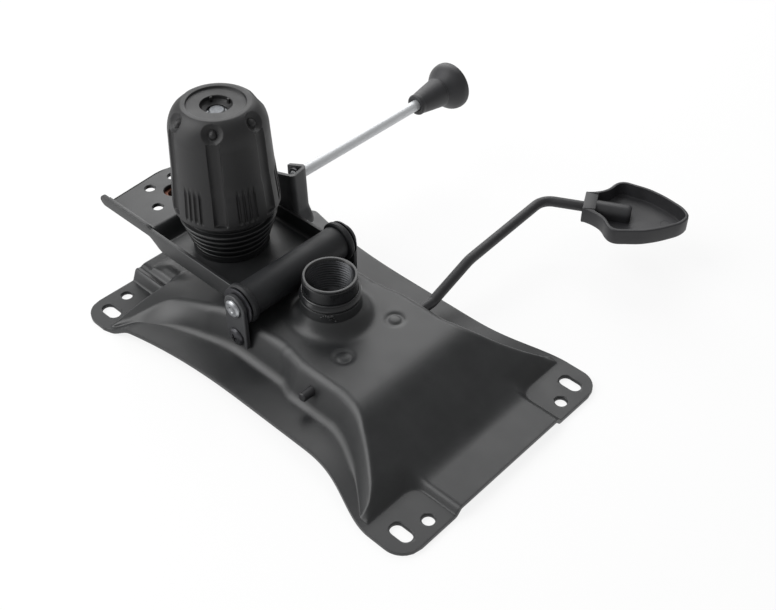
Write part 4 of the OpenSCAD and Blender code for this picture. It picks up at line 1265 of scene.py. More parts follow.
@dataclass
class TiltChannel:
    """Folded channel on the cross tube: tray, step, rear tab and two side walls.

    Attributes:
        half_w: half width over the walls.
        tab_z: height of the tab's upper face.
        step_x: X where the step up to the tab starts.
        step_l: length of the step.
        front_x: X of the front end.
        rear_x: X of the tab's rear end.
        wall_near: X of the near wall's rear end, and the radius of its corners.
        wall_far: the same of the far wall.
        wall_top: height of the walls' upper edge.
        corner_r: radius of the tab's far corner.
        edge_r: height by which the floor's side edges are broken.
    """

    half_w: float = 38.0
    tab_z: float = 48.0
    step_x: float = -118.0
    step_l: float = 9.0
    front_x: float = -41.0
    rear_x: float = -172.0
    wall_near: tuple[float, float] = (-177.0, 4.2)
    wall_far: tuple[float, float] = (-134.0, 1.8)
    wall_top: float = 48.5
    corner_r: float = 34.0
    edge_r: float = 0.45

    def floor_mid(self, x: Array) -> Array:
        """Middle line of tray and tab: two levels joined by a smooth step."""
        half = AT.sheet / 2
        return mix(AT.tray - half, self.tab_z - half, ease((self.step_x - x) / self.step_l))

    def floor_faces(self, x: Array) -> tuple[Array, Array]:
        """Lower and upper face of the floor: half a thickness off, more on the slope.

        Args:
            x: stations along X.

        Returns:
            Height of the lower and of the upper face.
        """
        mid = self.floor_mid(x)
        slope = np.gradient(mid, x)
        off = AT.sheet / 2 * np.sqrt(1 + slope ** 2)
        return mid - off, mid + off

    def stations(self, end: float) -> Array:
        """Stations along X, close together at the step and at the rear end.

        Args:
            end: X of the rear end.

        Returns:
            X of each station, from front to rear.
        """
        marks = [self.front_x, -108.0, -131.0, end + 34, end]
        steps = [4.0, 0.75, 3.0, 1.2]
        runs = [np.arange(a, b + 0.3, -s) for a, b, s in zip(marks[:-1], marks[1:], steps)]
        tail = end + 1.2 * np.cos(np.linspace(0, np.pi / 2, 6)[1:]) ** 2
        return np.concatenate(runs + [tail])

    def floor(self) -> Skin:
        """Tray and tab as one sheet; the far corner is a quarter circle in plan.

        Returns:
            Its surface.
        """
        x = self.stations(self.rear_x)
        low, high = [face[:, None] for face in self.floor_faces(x)]
        x, e = x[:, None], self.edge_r
        y0 = -self.half_w + AT.sheet - 0.2 + 0 * x
        over = np.clip(self.rear_x + self.corner_r - x, 0, self.corner_r)
        y1 = self.half_w - self.corner_r + np.sqrt(self.corner_r ** 2 - over ** 2)
        across = mix(y0 + e, y1 - e, np.linspace(0, 1, 12))
        y = np.hstack([y0, y0, across, y1, y1, across[:, ::-1]])
        z = np.hstack([low + e, high - e, high + 0 * across, high - e, low + e, low + 0 * across])
        skew = 3.5 * (1 - np.clip((y + 35.6) / 39.6, 0, 1)) * ease((-x - 150) / 22)
        return Skin().grid(points(x + skew, y, z), ring=True, caps=True)

    def wall(self, side: int) -> Skin:
        """Side wall as a rounded strip between its two edges, its outer foot bent round.

        The cross-section is a template whose points hang on the lower or the upper edge.

        Args:
            side: -1 for the near one, 1 for the far one.

        Returns:
            Its surface.
        """
        near = side < 0
        end, r = self.wall_near if near else self.wall_far
        x = self.stations(end)[:, None]
        low = AT.tray - AT.sheet + 7 * ease((-x - 113) / 15)
        high = self.wall_top + (2 * ease((-x - 123) / 7) if near else
                                -2.4 * ease((-x - 122) / 10))
        close = r - np.sqrt(r ** 2 - np.clip(end + r - x, 0, r) ** 2)
        mid = (low + high) / 2
        low, high = np.minimum(low + close, mid - 0.2), np.maximum(high - close, mid + 0.2)
        w, tall = self.half_w, 100
        y, h = fillet([(w - AT.sheet, 0, 0.4), (w, 0, 2.2), (w, tall, 0.5),
                       (w - AT.sheet, tall, 0.5)], steps=4).T
        z = np.where(h > tall / 2, np.maximum(high + h - tall, low + (high - low) * 0.7),
                     np.minimum(low + h, low + (high - low) * 0.45))
        return Skin().grid(points(x, side * y, z), ring=True, caps=True)

    def bend(self, side: int) -> Skin:
        """Inside radius of the fold between floor and wall, a hollow quarter circle of 2 mm.

        Args:
            side: -1 for the near one, 1 for the far one.

        Returns:
            Its surface.
        """
        x = self.stations(-172.0 if side < 0 else -128.0)
        high = self.floor_faces(x)[1]
        a = np.linspace(0, np.pi / 2, 7)
        r, inner = 2.0, self.half_w - AT.sheet
        arc = points(inner - r + r * np.sin(a), r - r * np.cos(a))
        y, h = np.concatenate([arc, [(inner + 0.4, r), (inner + 0.4, -0.6),
                                     (inner - r, -0.6)]]).T
        return Skin().grid(points(x[:, None], side * y, high[:, None] + h), ring=True, caps=True)

    def holes(self) -> Skin:
        """Cutters for the backrest holes, the nut's window and the tension bolt.

        Returns:
            All cutters as one skin.
        """
        skin = Skin()
        z = self.tab_z
        for x, y, r in ((-161, 9.5, 3.5), (-161, -9.5, 3.5), (-141, 18.5, 3.5),
                        (-141, -18.5, 3.5), (-148, 0, 6.5)):
            skin.revolve([(0, 30), (r, 30), (r, z - 0.4), (r + 0.4, z), (r + 4.4, z + 4),
                          (0, z + 4)], (x, y, 0), n=48)
        return skin.revolve([(0, 30), (7.5, 30), (7.5, 42), (0, 42)], AT.bolt, n=48)

    def welds(self) -> Skin:
        """Lumpy beads where tray and walls meet the tube.

        Returns:
            All beads as one skin.
        """
        skin = Skin()
        for y, z, size in ((-36.2, 48.0, 1.3), (-35.0, 49.0, 1.0), (36.4, 47.8, 1.5),
                           (35.2, 48.9, 1.1), (36.8, 46.2, 1.2), (-36.9, 46.4, 1.2)):
            blob(skin, (-43.6, y, z), size)
        y = np.linspace(-34, 34, 110)
        lump = 0.95 + 0.12 * np.sin(2.1 * y) + 0.08 * np.sin(5.3 * y + 1)
        return skin.tube(points(-42.6, y, AT.tray), lump, sides=12)

    def build(self) -> None:
        """Makes the channel and its weld beads."""
        obj = as_object(self.floor().mesh("tilt_channel_pressing"))
        cut(obj, self.holes())
        join(obj, self.wall(-1), self.wall(1), self.bend(-1), self.bend(1))
        dress(obj, COAT, Body.TILT, "tilt_channel", crease=38)
        piece("channel_weld_beads", self.welds(), COAT, Body.TILT, crease=80)


@dataclass
class LockBracket:
    """U folded from sheet on the channel's far wall, leaning to the rear, open behind.

    Attributes:
        y0: outer face of the near leg along Y.
        y1: outer face of the far leg along Y.
        rear: X of both legs' rear ends.
        fold: X of the front fold at its top.
        top_z: height of the upper edge.
        edge_r: width of the rounded edges.
        hole_r: radius of the rod's hole.
    """

    y0: float = 38.1
    y1: float = 52.1
    rear: float = -88.9
    fold: float = -72.0
    top_z: float = 76.4
    edge_r: float = 0.35
    hole_r: float = 3.8

    def front(self, z: Array) -> Array:
        """X of the front fold: a lean, and a foot that flares to the front."""
        return self.fold + 1.2 * (self.top_z - z) / 27 + 4.2 * ease((48.5 - z) / 9)

    def crown(self, x: Array, y: Array) -> Array:
        """Height of the upper edge: level at the fold, falling in a curve to both rear ends.

        Args:
            x: X of each point of the U.
            y: Y of each point of the U.

        Returns:
            Height at each point.
        """
        back = np.clip(-74 - x, 0, 20)
        near = 1.2 + 0.3 * back
        far = 0.08 * back + 0.35 * np.maximum(back - 11.5, 0) ** 2
        return self.top_z - mix(near, far, ease((y - 42) / 6))

    def body(self) -> Skin:
        """Carries the U's outer and inner line up the bracket along its leaning front.

        Returns:
            Its surface.
        """
        edge, t = self.fold, AT.sheet
        outer = fillet([(self.rear, self.y0, 0), (edge, self.y0, 3.6), (edge, self.y1, 4.6),
                        (self.rear, self.y1, 0)], steps=8)
        inner = fillet([(self.rear, self.y0 + t, 0), (edge - t, self.y0 + t, 1.2),
                        (edge - t, self.y1 - t, 1.0), (self.rear, self.y1 - t, 0)], steps=8)
        ring = np.concatenate([outer, inner[::-1]])
        share = np.clip((ring[:, 0] - self.rear) / (edge - self.rear), 0, 1)
        x, y = ring.T
        level = AT.tray + (self.crown(x, y) - AT.tray) * np.linspace(0, 1, 44)[:, None]
        rows = points(x + (self.front(level) - edge) * share, y, level)
        skin = Skin().grid(rows, ring=True)
        half = len(outer)
        for row in (rows[0], rows[-1]):
            skin.grid(np.array([row[:half], row[half:][::-1]]))
        return skin

    def build(self) -> None:
        """Makes the bracket with the rod's hole in its outer wall."""
        obj = as_object(self.body().mesh("lock_rod_bracket"))
        r, y = self.hole_r, self.y1 - 0.3
        cut(obj, Skin().revolve([(0, 45), (r, 45), (r, y), (r + 0.4, y + 0.4), (r + 0.4, 54),
                                 (0, 54)], AT.lock, "Y", 48))
        modify(obj, "BEVEL", width=self.edge_r * MM, segments=2, limit_method="ANGLE",
               angle_limit=math.radians(50))
        dress(obj, STRIP_COAT, Body.TILT, "lock_bracket", crease=40)


@dataclass
class BackrestNut:
    """Copper plated weld nut under the tab.

    Attributes:
        centre: X and Y of its axis.
        low: height of its lower face.
        high: height of its upper face.
        across: distance from the axis to a corner.
        thread: radius of the thread's ridges and of its valleys.
    """

    centre: tuple[float, float] = (-148.0, 0.0)
    low: float = 38.4
    high: float = 45.4
    across: float = 10.9
    thread: tuple[float, float] = (4.0, 4.45)

    def build(self) -> None:
        """Makes the hexagon, its chamfers and the thread's ridges."""
        line = circle(self.across, 6, self.centre)
        obj = as_object(Skin().prism(line, self.low, self.high, edge=0.5).mesh("backrest_weld_nut"))
        z = np.arange(self.low - 1, self.high + 1, 0.625)
        r = np.where(np.arange(len(z)) % 2, *self.thread)
        line = np.concatenate([[(0, z[0])], points(r, z), [(0, z[-1])]])
        cut(obj, Skin().revolve(line, (*self.centre, 0), n=48))
        dress(obj, COPPER, Body.TILT, "backrest_nut")


# Tension unit


@dataclass
class TensionUnit:
    """Bolt, sleeve, spring with its seats, rubber boot, knob and the knob's nut.

    Attributes:
        coils: turns of the spring.
        coil_r: mean radius of the spring.
        coil_ends: height of the wire's two ends.
        wire_r: radius of the wire.
        fins: number of fins on the boot.
        fin_r: radius of the lowest fin; each further one is 1.6 mm larger.
        fin_step: distance between two fins.
        knob_foot: height of the knob's lip.
        knob_top: height of the knob's top.
        flutes: number of flutes round the knob.
        first: angle of one flute in degrees.
        flute_w: width of a flute.
        flute_depth: depth of a flute.
        flute_top: height where the flutes end.
        shoulder_z: height where the shoulder starts.
        shoulder_r: radius of the body there.
        entry: angle in degrees at which the shoulder leaves the top.
        dimple: distance out, height and radius of the sphere that presses a dimple.
        ball: the same of the ball on the dimple's floor.
        columns: points round the knob.
        bolt_r: radius of the bolt.
        hexagon: distance from the axis to a corner of the knob's nut.
    """

    coils: int = 8
    coil_r: float = 17.0
    coil_ends: tuple[float, float] = (43.5, 118.4)
    wire_r: float = 2.48
    fins: int = 5
    fin_r: float = 24.4
    fin_step: float = 4.975
    knob_foot: float = 68.8
    knob_top: float = 139.9
    flutes: int = 6
    first: float = 14.0
    flute_w: float = 8.4
    flute_depth: float = 2.3
    flute_top: float = 129.0
    shoulder_z: float = 122.4
    shoulder_r: float = 30.2
    entry: float = 16.0
    dimple: tuple[float, float, float] = (30.8, 137.8, 8.5)
    ball: tuple[float, float, float] = (23.6, 132.4, 3.1)
    columns: int = 600
    bolt_r: float = 4.98
    hexagon: float = 9.2

    def bolt(self) -> Skin:
        """Bolt with a hexagon head, a thread of V ridges near its end and a domed tip.

        Returns:
            Its surface.
        """
        z = np.arange(104.0, 133.4, 0.75)
        r = np.where(np.arange(len(z)) % 2, 4.55, self.bolt_r)
        tip = fillet([(4.6, 133.6, 0), (4.95, 134.0, 0.3), (4.95, 134.4, 0.5), (4.2, 134.95, 0.5),
                      (0, 135.0, 0)])
        shank = [(0, 9), (self.bolt_r, 9), (self.bolt_r, z[0] - 0.5)]
        line = np.concatenate([shank, points(r, z), tip])
        skin = Skin().revolve(line, AT.bolt, n=64)
        return skin.prism(circle(9.0, 6, AT.bolt), 5.5, 11.9, edge=0.6)

    def coil(self) -> Skin:
        """Spring wire on a helix whose first and last curls lie flat.

        Angle grows evenly; height is an eased share of it near both ends.

        Returns:
            Its surface.
        """
        low, high = self.coil_ends
        t = np.linspace(0, 1, self.coils * 40 + 1)
        a = 2 * np.pi * self.coils * t
        z = mix(low, high, 0.5 * (t + mix(t, ease(t), 0.25)))
        path = points(AT.bolt[0] + self.coil_r * np.cos(a), self.coil_r * np.sin(a), z)
        return Skin().tube(path, self.wire_r, sides=18)

    def boot(self) -> Skin:
        """Rubber boot: five thin fins with round rims over deep valleys, a smooth base.

        Returns:
            Its surface.
        """
        foot = AT.tray + 0.35
        fins = [(i, self.fin_r + 1.6 * i, AT.tray + 4.3 + self.fin_step * i)
                for i in range(self.fins)]
        outer: list[tuple[float, float, float]] = [(self.fin_r, foot, 0.4)]
        for i, r, z in fins:
            outer += [(r - (3.3 if i else 0.4), z - 2.0, 0.5), (r - 0.1, z - 0.8, 0.7),
                      (r - 0.1, z + 0.75, 0.7), (r - 3.2, z + 1.5, 0.5)]
        outer += [(28.8, 65.6, 0.8), (28.8, 74.7, 0.4)]
        wall = [(27.0, 74.7, 0.4), (27.0, 64.0, 0.8)]
        wall += [(max(r - 5.0, 21.2), z, 0.8) for _, r, z in fins[::-1]]
        wall += [(21.2, foot, 0.3)]
        return Skin().revolve(fillet(outer + wall, steps=3), AT.bolt, n=160)

    def knob_profile(self) -> tuple[Array, Array]:
        """Closed profile of the knob, and which of its points lie on the gripped outside.

        It runs from the nut's pocket up through the top's hole, over the ring recess, the
        shoulder (a squashed quarter circle entered at an angle), down the body, round the
        lip and up the inside.

        Returns:
            Radius and height of each point, and whether it is gripped.
        """
        foot, top = self.knob_foot, self.knob_top
        inside = fillet([(9.4, 126.5, 0), (9.4, 133.5, 0.1), (6.3, 133.5, 0.1),
                         (6.3, 134.2, 0.3), (8.9, 135.2, 0.4), (9.6, 136.2, 0.4),
                         (9.6, top - 1.3, 0.5), (17.6, top - 1.3, 0.3), (18.0, top, 0.45),
                         (20.4, top, 0)], steps=3)
        a0 = math.radians(self.entry)
        a = np.linspace(a0, np.pi / 2, 40)
        shoulder = points(21.0 + 9.2 * (np.sin(a) - math.sin(a0)) / (1 - math.sin(a0)),
                          self.shoulder_z + (top - self.shoulder_z) * np.cos(a) / math.cos(a0))
        z = np.linspace(self.shoulder_z - 0.9, foot + 4.0, 68)
        r = np.interp(z, [foot + 3.5, foot + 22, self.shoulder_z], [33.4, 31.8, self.shoulder_r])
        r = r + 0.35 * ease((100 - z) / 8) * ease((z - foot - 1) / 8)
        body = points(r, z)
        lip = fillet([(33.4, foot + 3.6, 0), (33.45, foot + 1.6, 0.5), (32.9, foot + 0.9, 0.3),
                      (32.6, foot, 0.4), (30.9, foot, 0.4), (30.7, foot + 3, 0.5),
                      (27.9, foot + 22, 0), (26.4, self.shoulder_z, 3), (23.2, 132.9, 2),
                      (14, 132.9, 1), (14, 126.5, 0)], steps=3)
        line = np.concatenate([inside, shoulder, body, lip])
        grip = np.zeros(len(line), bool)
        grip[len(inside):len(inside) + len(shoulder) + len(body)] = True
        return line, grip

    def sphere(self, s: Array, z: Array, ball: tuple[float, float, float], side: int) -> Array:
        """Distance out to a sphere's inner (-1) or outer (1) side, d = c + side sqrt(R^2 - q^2).

        Args:
            s: distance from the middle plane.
            z: height.
            ball: distance out and height of its centre, and its radius R.
            side: -1 or 1.

        Returns:
            The distance, and 99 x -side where the line misses the sphere.
        """
        out, height, radius = ball
        room = radius ** 2 - s ** 2 - (z - height) ** 2
        return np.where(room > 0, out + side * np.sqrt(np.maximum(room, 0)), -99.0 * side)

    def knob(self) -> Skin:
        """Knob: the turned profile pressed in by flutes, dimples and fine grooves.

        With s the distance across a flute's middle plane and d the distance out along it,
        the surface is the lower of the turned one and: a channel d = base(z) + depth (1 -
        sqrt(1 - |2 s / w|^3)); the near side of a sphere, with a ball on its floor; four fine
        half round grooves in each field.

        Returns:
            Its surface.
        """
        line, grip = self.knob_profile()
        turn = turns(self.columns)
        r = np.repeat(line[:, :1], self.columns, 1)
        z = line[:, 1:]
        pitch = 2 * np.pi / self.flutes
        off = (turn - math.radians(self.first) + pitch / 2) % pitch - pitch / 2
        s, d = r * np.sin(off), r * np.cos(off)
        base = self.shoulder_r - self.flute_depth + (self.shoulder_z - z) * 3.3 / 53.6
        base = base + 0.35 * ease((100 - z) / 8) + 5.0 * np.clip((73.6 - z) / 3.2, 0, 2) ** 2
        across = np.clip(np.abs(2 * s / self.flute_w), 0, 1)
        channel = base + self.flute_depth * (1 - np.sqrt(1 - across ** 3))
        channel = np.where((across < 1) & (z < self.flute_top), channel, 99)
        pocket = self.sphere(s, z, self.dimple, -1)
        pocket = np.maximum(pocket, self.sphere(s, z, self.ball, 1))
        out = np.minimum(np.minimum(d, channel), pocket)
        field_s = 32.6 * ((turn - math.radians(self.first)) % pitch - pitch / 2)
        near = np.abs(field_s - np.array([-5.4, -1.8, 1.8, 5.4])[:, None]).min(0)
        fine = np.sqrt(np.maximum(1 - (near / 0.95) ** 2, 0)) * ease((z - 73.2) / 0.8) * ease(
            (98.5 - z) / 9)
        shaped = np.hypot(out, s) - 1.3 * fine
        r = np.where(grip[:, None], shaped, r)
        pts = points(r * np.cos(turn), r * np.sin(turn), z) + np.array(AT.bolt)
        skin = Skin().grid(pts, ring=True, loop=True)
        for angle in (88, 160):
            rib = np.array([(8.5, -0.9), (9.9, -0.9), (9.9, 0.9), (8.5, 0.9)])
            skin.prism(turned(rib, angle) + AT.bolt[:2], 134.6, 138.3, edge=0.25)
        return skin

    def nut(self) -> bpy.types.Object:
        """Chamfered hexagon nut with a clearance bore.

        Returns:
            The nut.
        """
        obj = as_object(Skin().prism(circle(self.hexagon, 6, AT.bolt), 126.75, 133.2, edge=0.6)
                        .mesh("knob_drive_nut"))
        cut(obj, Skin().revolve([(0, 120), (5.05, 120), (5.05, 140), (0, 140)], AT.bolt, n=48))
        return obj

    def seats(self) -> tuple[Skin, Skin, Skin]:
        """Spring seat, spring cap and stop sleeve as turned rings with round edges.

        Returns:
            Seat, cap and sleeve.
        """
        z = AT.tray + 0.1
        seat = fillet([(8, z, 0.3), (20.8, z, 0.4), (20.8, z + 3, 0.8), (13.6, z + 3, 0.3),
                       (13.6, z + 7, 0.3), (12.6, z + 8, 0.5), (8, z + 8, 0.3)], steps=3)
        cap = fillet([(5.05, 117.7, 0.3), (12.6, 117.7, 0.5), (13.6, 118.7, 0.3),
                      (13.6, 122.7, 0.3), (24, 122.7, 0.6), (24, 126.2, 0.8),
                      (5.05, 126.2, 0.3)], steps=3)
        sleeve = rounded_box(5.1, 12.0, 9.0, 34.8, 0.4)
        return (Skin().revolve(seat, AT.bolt), Skin().revolve(cap, AT.bolt),
                Skin().revolve(sleeve, AT.bolt))

    def build(self) -> None:
        """Makes every piece of the unit; the stiff ones each ride on their own body."""
        piece("tension_bolt_threaded", self.bolt(), SAWN_ZINC, Body.HOUSING, "tension_bolt")
        seat, cap, sleeve = self.seats()
        piece("bolt_stop_sleeve", sleeve, STEEL, Body.HOUSING, "stop_sleeve")
        piece("spring_lower_seat", seat, STEEL, Body.TILT, "spring_seat")
        piece("spring_upper_cap", cap, STEEL, Body.CARRIER, "spring_cap")
        self.soft("tension_spring_coil", self.coil(), SPRING, "compression_spring")
        self.soft("ribbed_dust_boot", self.boot(), RUBBER, "dust_boot")
        piece("tension_knob_moulding", self.knob(), NYLON, Body.KNOB, "tension_knob", crease=42)
        dress(self.nut(), ZINC, Body.KNOB, "knob_nut")

    def soft(self, name: str, skin: Skin, finish: Finish, node: str) -> None:
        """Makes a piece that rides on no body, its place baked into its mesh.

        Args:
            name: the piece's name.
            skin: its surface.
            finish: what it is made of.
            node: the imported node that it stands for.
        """
        obj = as_object(skin.mesh(name))
        paint(obj, finish, [node], 32)
        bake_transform(obj)


# Levers


@dataclass
class GasLever:
    """Bent rod through the dome, its release finger and rings, and the hollow paddle.

    Attributes:
        d: diameter of the rod.
        turn: heading of the paddle in degrees from X.
        length: length of the paddle.
        width: width of the paddle.
        depth: height of the paddle.
        wall: thickness of the paddle's walls.
        rim: height of the paddle's rim in its own frame.
        boss_r: radius of the boss round the rod.
        boss_end: X in the paddle's frame where the boss's dome starts.
        paddle_at: place of the paddle's own frame.
    """

    d: float = 7.0
    turn: float = 28.0
    length: float = 68.0
    width: float = 55.0
    depth: float = 11.5
    wall: float = 2.2
    rim: float = 5.5
    boss_r: float = 6.3
    boss_end: float = 28.5
    paddle_at: tuple[float, float, float] = (54.53, 181.19, 39.3)

    def rod(self) -> Skin:
        """Sweeps the rod along its bends, with a slimmer end that shows in the near wall.

        Returns:
            Its surface.
        """
        x, _, z = AT.gas
        reach = turned(np.array([25.5, 0.0]), self.turn)
        end = np.array(self.paddle_at) + (*reach, 0)
        path = fillet([(x, -55, z, 0), (x, 58.2, z, 7), (x, 93, 33.0, 26), (x, 168.4, 39.3, 14),
                       (*end, 0)], steps=14)
        extra = [(x, y, z) for y in (-54.4, -42, -40.8, -10, 20, 45)]
        path = np.concatenate([path[:1], extra, path[1:]])
        radius = np.where(path[:, 1] < -41, 2.95, self.d / 2 - 0.02)
        radius[0] = 2.4
        return Skin().tube(path, radius, sides=36)

    def finger(self) -> Skin:
        """Release finger: a hub on the rod and an arm that ends under the socket.

        Returns:
            Its surface.
        """
        x, _, z = AT.gas
        line = fillet([(x, z - 5, 0.5), (x - 6, z - 2, 2), (x - 12, 11.5, 3), (4, 8.4, 2),
                       (1, 8, 1), (-4, 8, 0.8), (-5, 7, 0.5), (-5, 4.5, 0.8), (2, 4, 2),
                       (x - 6, 7, 3), (x + 3, z - 6, 2)], steps=4)
        skin = Skin().prism(line, -7, 7, "XZ", edge=0.5)
        hub = rounded_box(3.6, -9.1, 7.0, 9.1, 0.5)
        return skin.revolve(hub, AT.gas, "Y", 64)

    def rings(self) -> Skin:
        """Retaining rings: flat rings with round rims inside both walls of the dome.

        Returns:
            Both rings as one skin.
        """
        skin = Skin()
        for side in (-1, 1):
            line = rounded_box(3.6, 39.6, 5.5, 41.1, 0.3) * (1, side)
            skin.revolve(line, AT.gas, "Y", 48)
        return skin

    def outline(self) -> Array:
        """Half outline of the paddle as a smooth curve through measured shares, then mirrored.

        The curve is a cubic through the points whose slopes are the means of their
        neighbours' (Catmull-Rom).

        Returns:
            Closed outline in the paddle's own frame.
        """
        pts = np.array([[0, 0.35], [0.07, 0.4], [0.13, 0.47], [0.18, 0.56], [0.22, 0.68],
                        [0.25, 0.82], [0.285, 0.93], [0.33, 0.99], [0.38, 1], [0.46, 0.955],
                        [0.58, 0.88], [0.68, 0.77], [0.77, 0.64], [0.86, 0.48], [0.93, 0.34],
                        [0.975, 0.19], [0.998, 0.06]])
        m = np.gradient(pts, axis=0)
        t = np.linspace(0, 1, 6, endpoint=False)[:, None]
        h = (2 * t ** 3 - 3 * t ** 2 + 1, t ** 3 - 2 * t ** 2 + t, -2 * t ** 3 + 3 * t ** 2,
             t ** 3 - t ** 2)
        runs = [h[0] * pts[i] + h[1] * m[i] + h[2] * pts[i + 1] + h[3] * m[i + 1]
                for i in range(len(pts) - 1)]
        half = np.concatenate(runs + [pts[-1:]]) * (self.length, self.width / 2)
        half = np.concatenate([[(0, 0.12 * self.width)], half])
        return np.concatenate([half, half[::-1] * (1, -1)])

    def tray(self) -> Skin:
        """Paddle's shell: its outline lofted down the outside, over the rim, down the inside.

        The hollow starts behind a solid neck, so inner points in front of that line are
        brought back to it.

        Returns:
            Its surface.
        """
        out = self.outline()
        low, rim = self.rim - self.depth, self.rim
        hollow = self.length * 0.125
        rows = [(1.6, low), (0.7, low + 0.25), (0.15, low + 0.9), (0, low + 1.8), (0, rim - 0.9),
                (0.12, rim - 0.4), (0.5, rim - 0.08), (0.9, rim)]
        sections = [(inset(out, d), z) for d, z in rows]
        wall, floor = self.wall, low + self.wall
        for d, z in ((wall - 0.4, rim), (wall - 0.1, rim - 0.1), (wall, rim - 0.5),
                     (wall + 0.3, floor + 1.2), (wall + 0.6, floor + 0.35), (wall + 1.4, floor)):
            line = inset(out, d)
            line[:, 0] = np.maximum(line[:, 0], hollow + (d - wall))
            sections.append((line, z))
        return self.placed(Skin().loft(sections))

    def boss(self) -> Skin:
        """Boss for the rod: a round back on straight sides down to the floor, its end domed.

        Returns:
            Its surface.
        """
        a, r, end = np.linspace(0, np.pi, 21), self.boss_r, self.boss_end
        top = points(r * np.cos(a), r * np.sin(a) - 0.8)
        y, z = np.concatenate([top, [(-6.5, -3.9), (6.5, -3.9)]]).T
        x = np.concatenate([[7.5], np.linspace(8, end, 6),
                            end + 3 * np.sin(np.linspace(0.3, np.pi / 2, 7))])[:, None]
        shrink = np.sqrt(np.clip(1 - ((x - end).clip(0) / 3.02) ** 2, 0, 1))
        scale = (1 - 0.34 * (1 - shrink)) * np.linspace(1, 0.96, len(x))[:, None]
        pts = points(x, y * scale, np.where(z < -3, z, z * scale))
        return self.placed(Skin().grid(pts, ring=True, caps=True))

    def mark(self) -> Skin:
        """Faint round ejector mark near the paddle's tip: a very flat ring.

        Returns:
            Its surface.
        """
        line = np.array([[3.2, 0], [3.35, 0.12], [3.6, 0.12], [3.75, 0]]) + (
            0, self.rim - self.depth + self.wall - 0.02)
        return self.placed(Skin().revolve(line, (self.length * 0.8, 0, 0), n=48))

    def placed(self, skin: Skin) -> Skin:
        """Turns a skin in the paddle's own frame to its heading and moves it to its place.

        Args:
            skin: the skin, in the paddle's own frame.

        Returns:
            The same skin in the part's frame.
        """
        skin.verts = [np.column_stack([turned(v[:, :2], self.turn), v[:, 2]]) + self.paddle_at
                      for v in skin.verts]
        return skin

    def build(self) -> None:
        """Makes rod, finger, rings and paddle."""
        piece("gas_lever_bent_rod", self.rod(), ROD_COAT, Body.GAS_LEVER, "gas_lever_rod")
        piece("gas_release_finger", self.finger(), STEEL, Body.GAS_LEVER, "release_finger")
        piece("lever_retaining_rings", self.rings(), STEEL, Body.GAS_LEVER, "lever_rings")
        obj = as_object(self.tray().mesh("gas_lever_paddle"))
        join(obj, self.boss(), self.mark())
        dress(obj, POLYPROPYLENE, Body.GAS_LEVER, "paddle", crease=40)


@dataclass
class LockLever:
    """Pull rod in the bracket, its stop collar and its bell-shaped knob.

    Attributes:
        d: diameter of the rod.
        start: Y of its inner end.
        end: Y of its outer end, inside the knob.
        knob_y: Y of the knob's front rim.
    """

    d: float = 7.5
    start: float = 46.9
    end: float = 187.0
    knob_y: float = 163.0

    def rod(self) -> Skin:
        """Straight rod with chamfered ends.

        Returns:
            Its surface.
        """
        r, y0, y1 = self.d / 2, self.start, self.end
        line = fillet([(0, y0, 0), (r - 0.5, y0, 0.1), (r, y0 + 0.5, 0.2), (r, y1, 0.2),
                       (0, y1, 0)])
        return Skin().revolve(line, AT.lock, "Y", 64)

    def collar(self) -> Skin:
        """Stop collar with round rims."""
        return Skin().revolve(rounded_box(self.d / 2 + 0.1, 47.3, 5.5, 49.3, 0.35), AT.lock,
                              "Y", 64)

    def knob(self) -> Skin:
        """Bell knob: a thick front rim, a slim cone, a crease, a trumpet flare, a domed end.

        Returns:
            Its surface.
        """
        y = self.knob_y
        bore = self.d / 2 + 0.1
        front = fillet([(bore, 24, 0), (bore, 1.2, 0.4), (5.2, 0.25, 0.5), (6.9, 0, 0.6),
                        (7.45, 1.2, 0.9), (7.35, 3.6, 1.2), (7.9, 6.5, 0)], steps=4)
        t = np.linspace(0, 1, 12)
        cone = points(mix(7.95, 10.5, t + 0.1 * t * (1 - t)), mix(7, 23.4, t))
        a = np.linspace(0, 1, 20)
        flare = points(10.2 + 6.6 * np.sin(a * np.pi / 2) ** 1.3, mix(23.9, 35.5, a))
        back = fillet([(16.95, 36.4, 0), (16.7, 38.6, 1.6), (13.6, 40.3, 2.2),
                       (6.0, 40.95, 2), (0, 41.0, 0), (0, 24, 0)], steps=5)
        line = np.concatenate([front, cone, flare, back])
        return Skin().revolve(line + (0, y), AT.lock, "Y", 112)

    def build(self) -> None:
        """Makes rod, collar and knob."""
        piece("lock_pull_rod", self.rod(), ZINC_ROD, Body.LOCK_LEVER, "lock_rod")
        piece("lock_stop_collar", self.collar(), BLACK_ZINC, Body.LOCK_LEVER, "lock_collar")
        piece("lock_bell_knob", self.knob(), POLYPROPYLENE, Body.LOCK_LEVER, "lock_knob")


# Studio


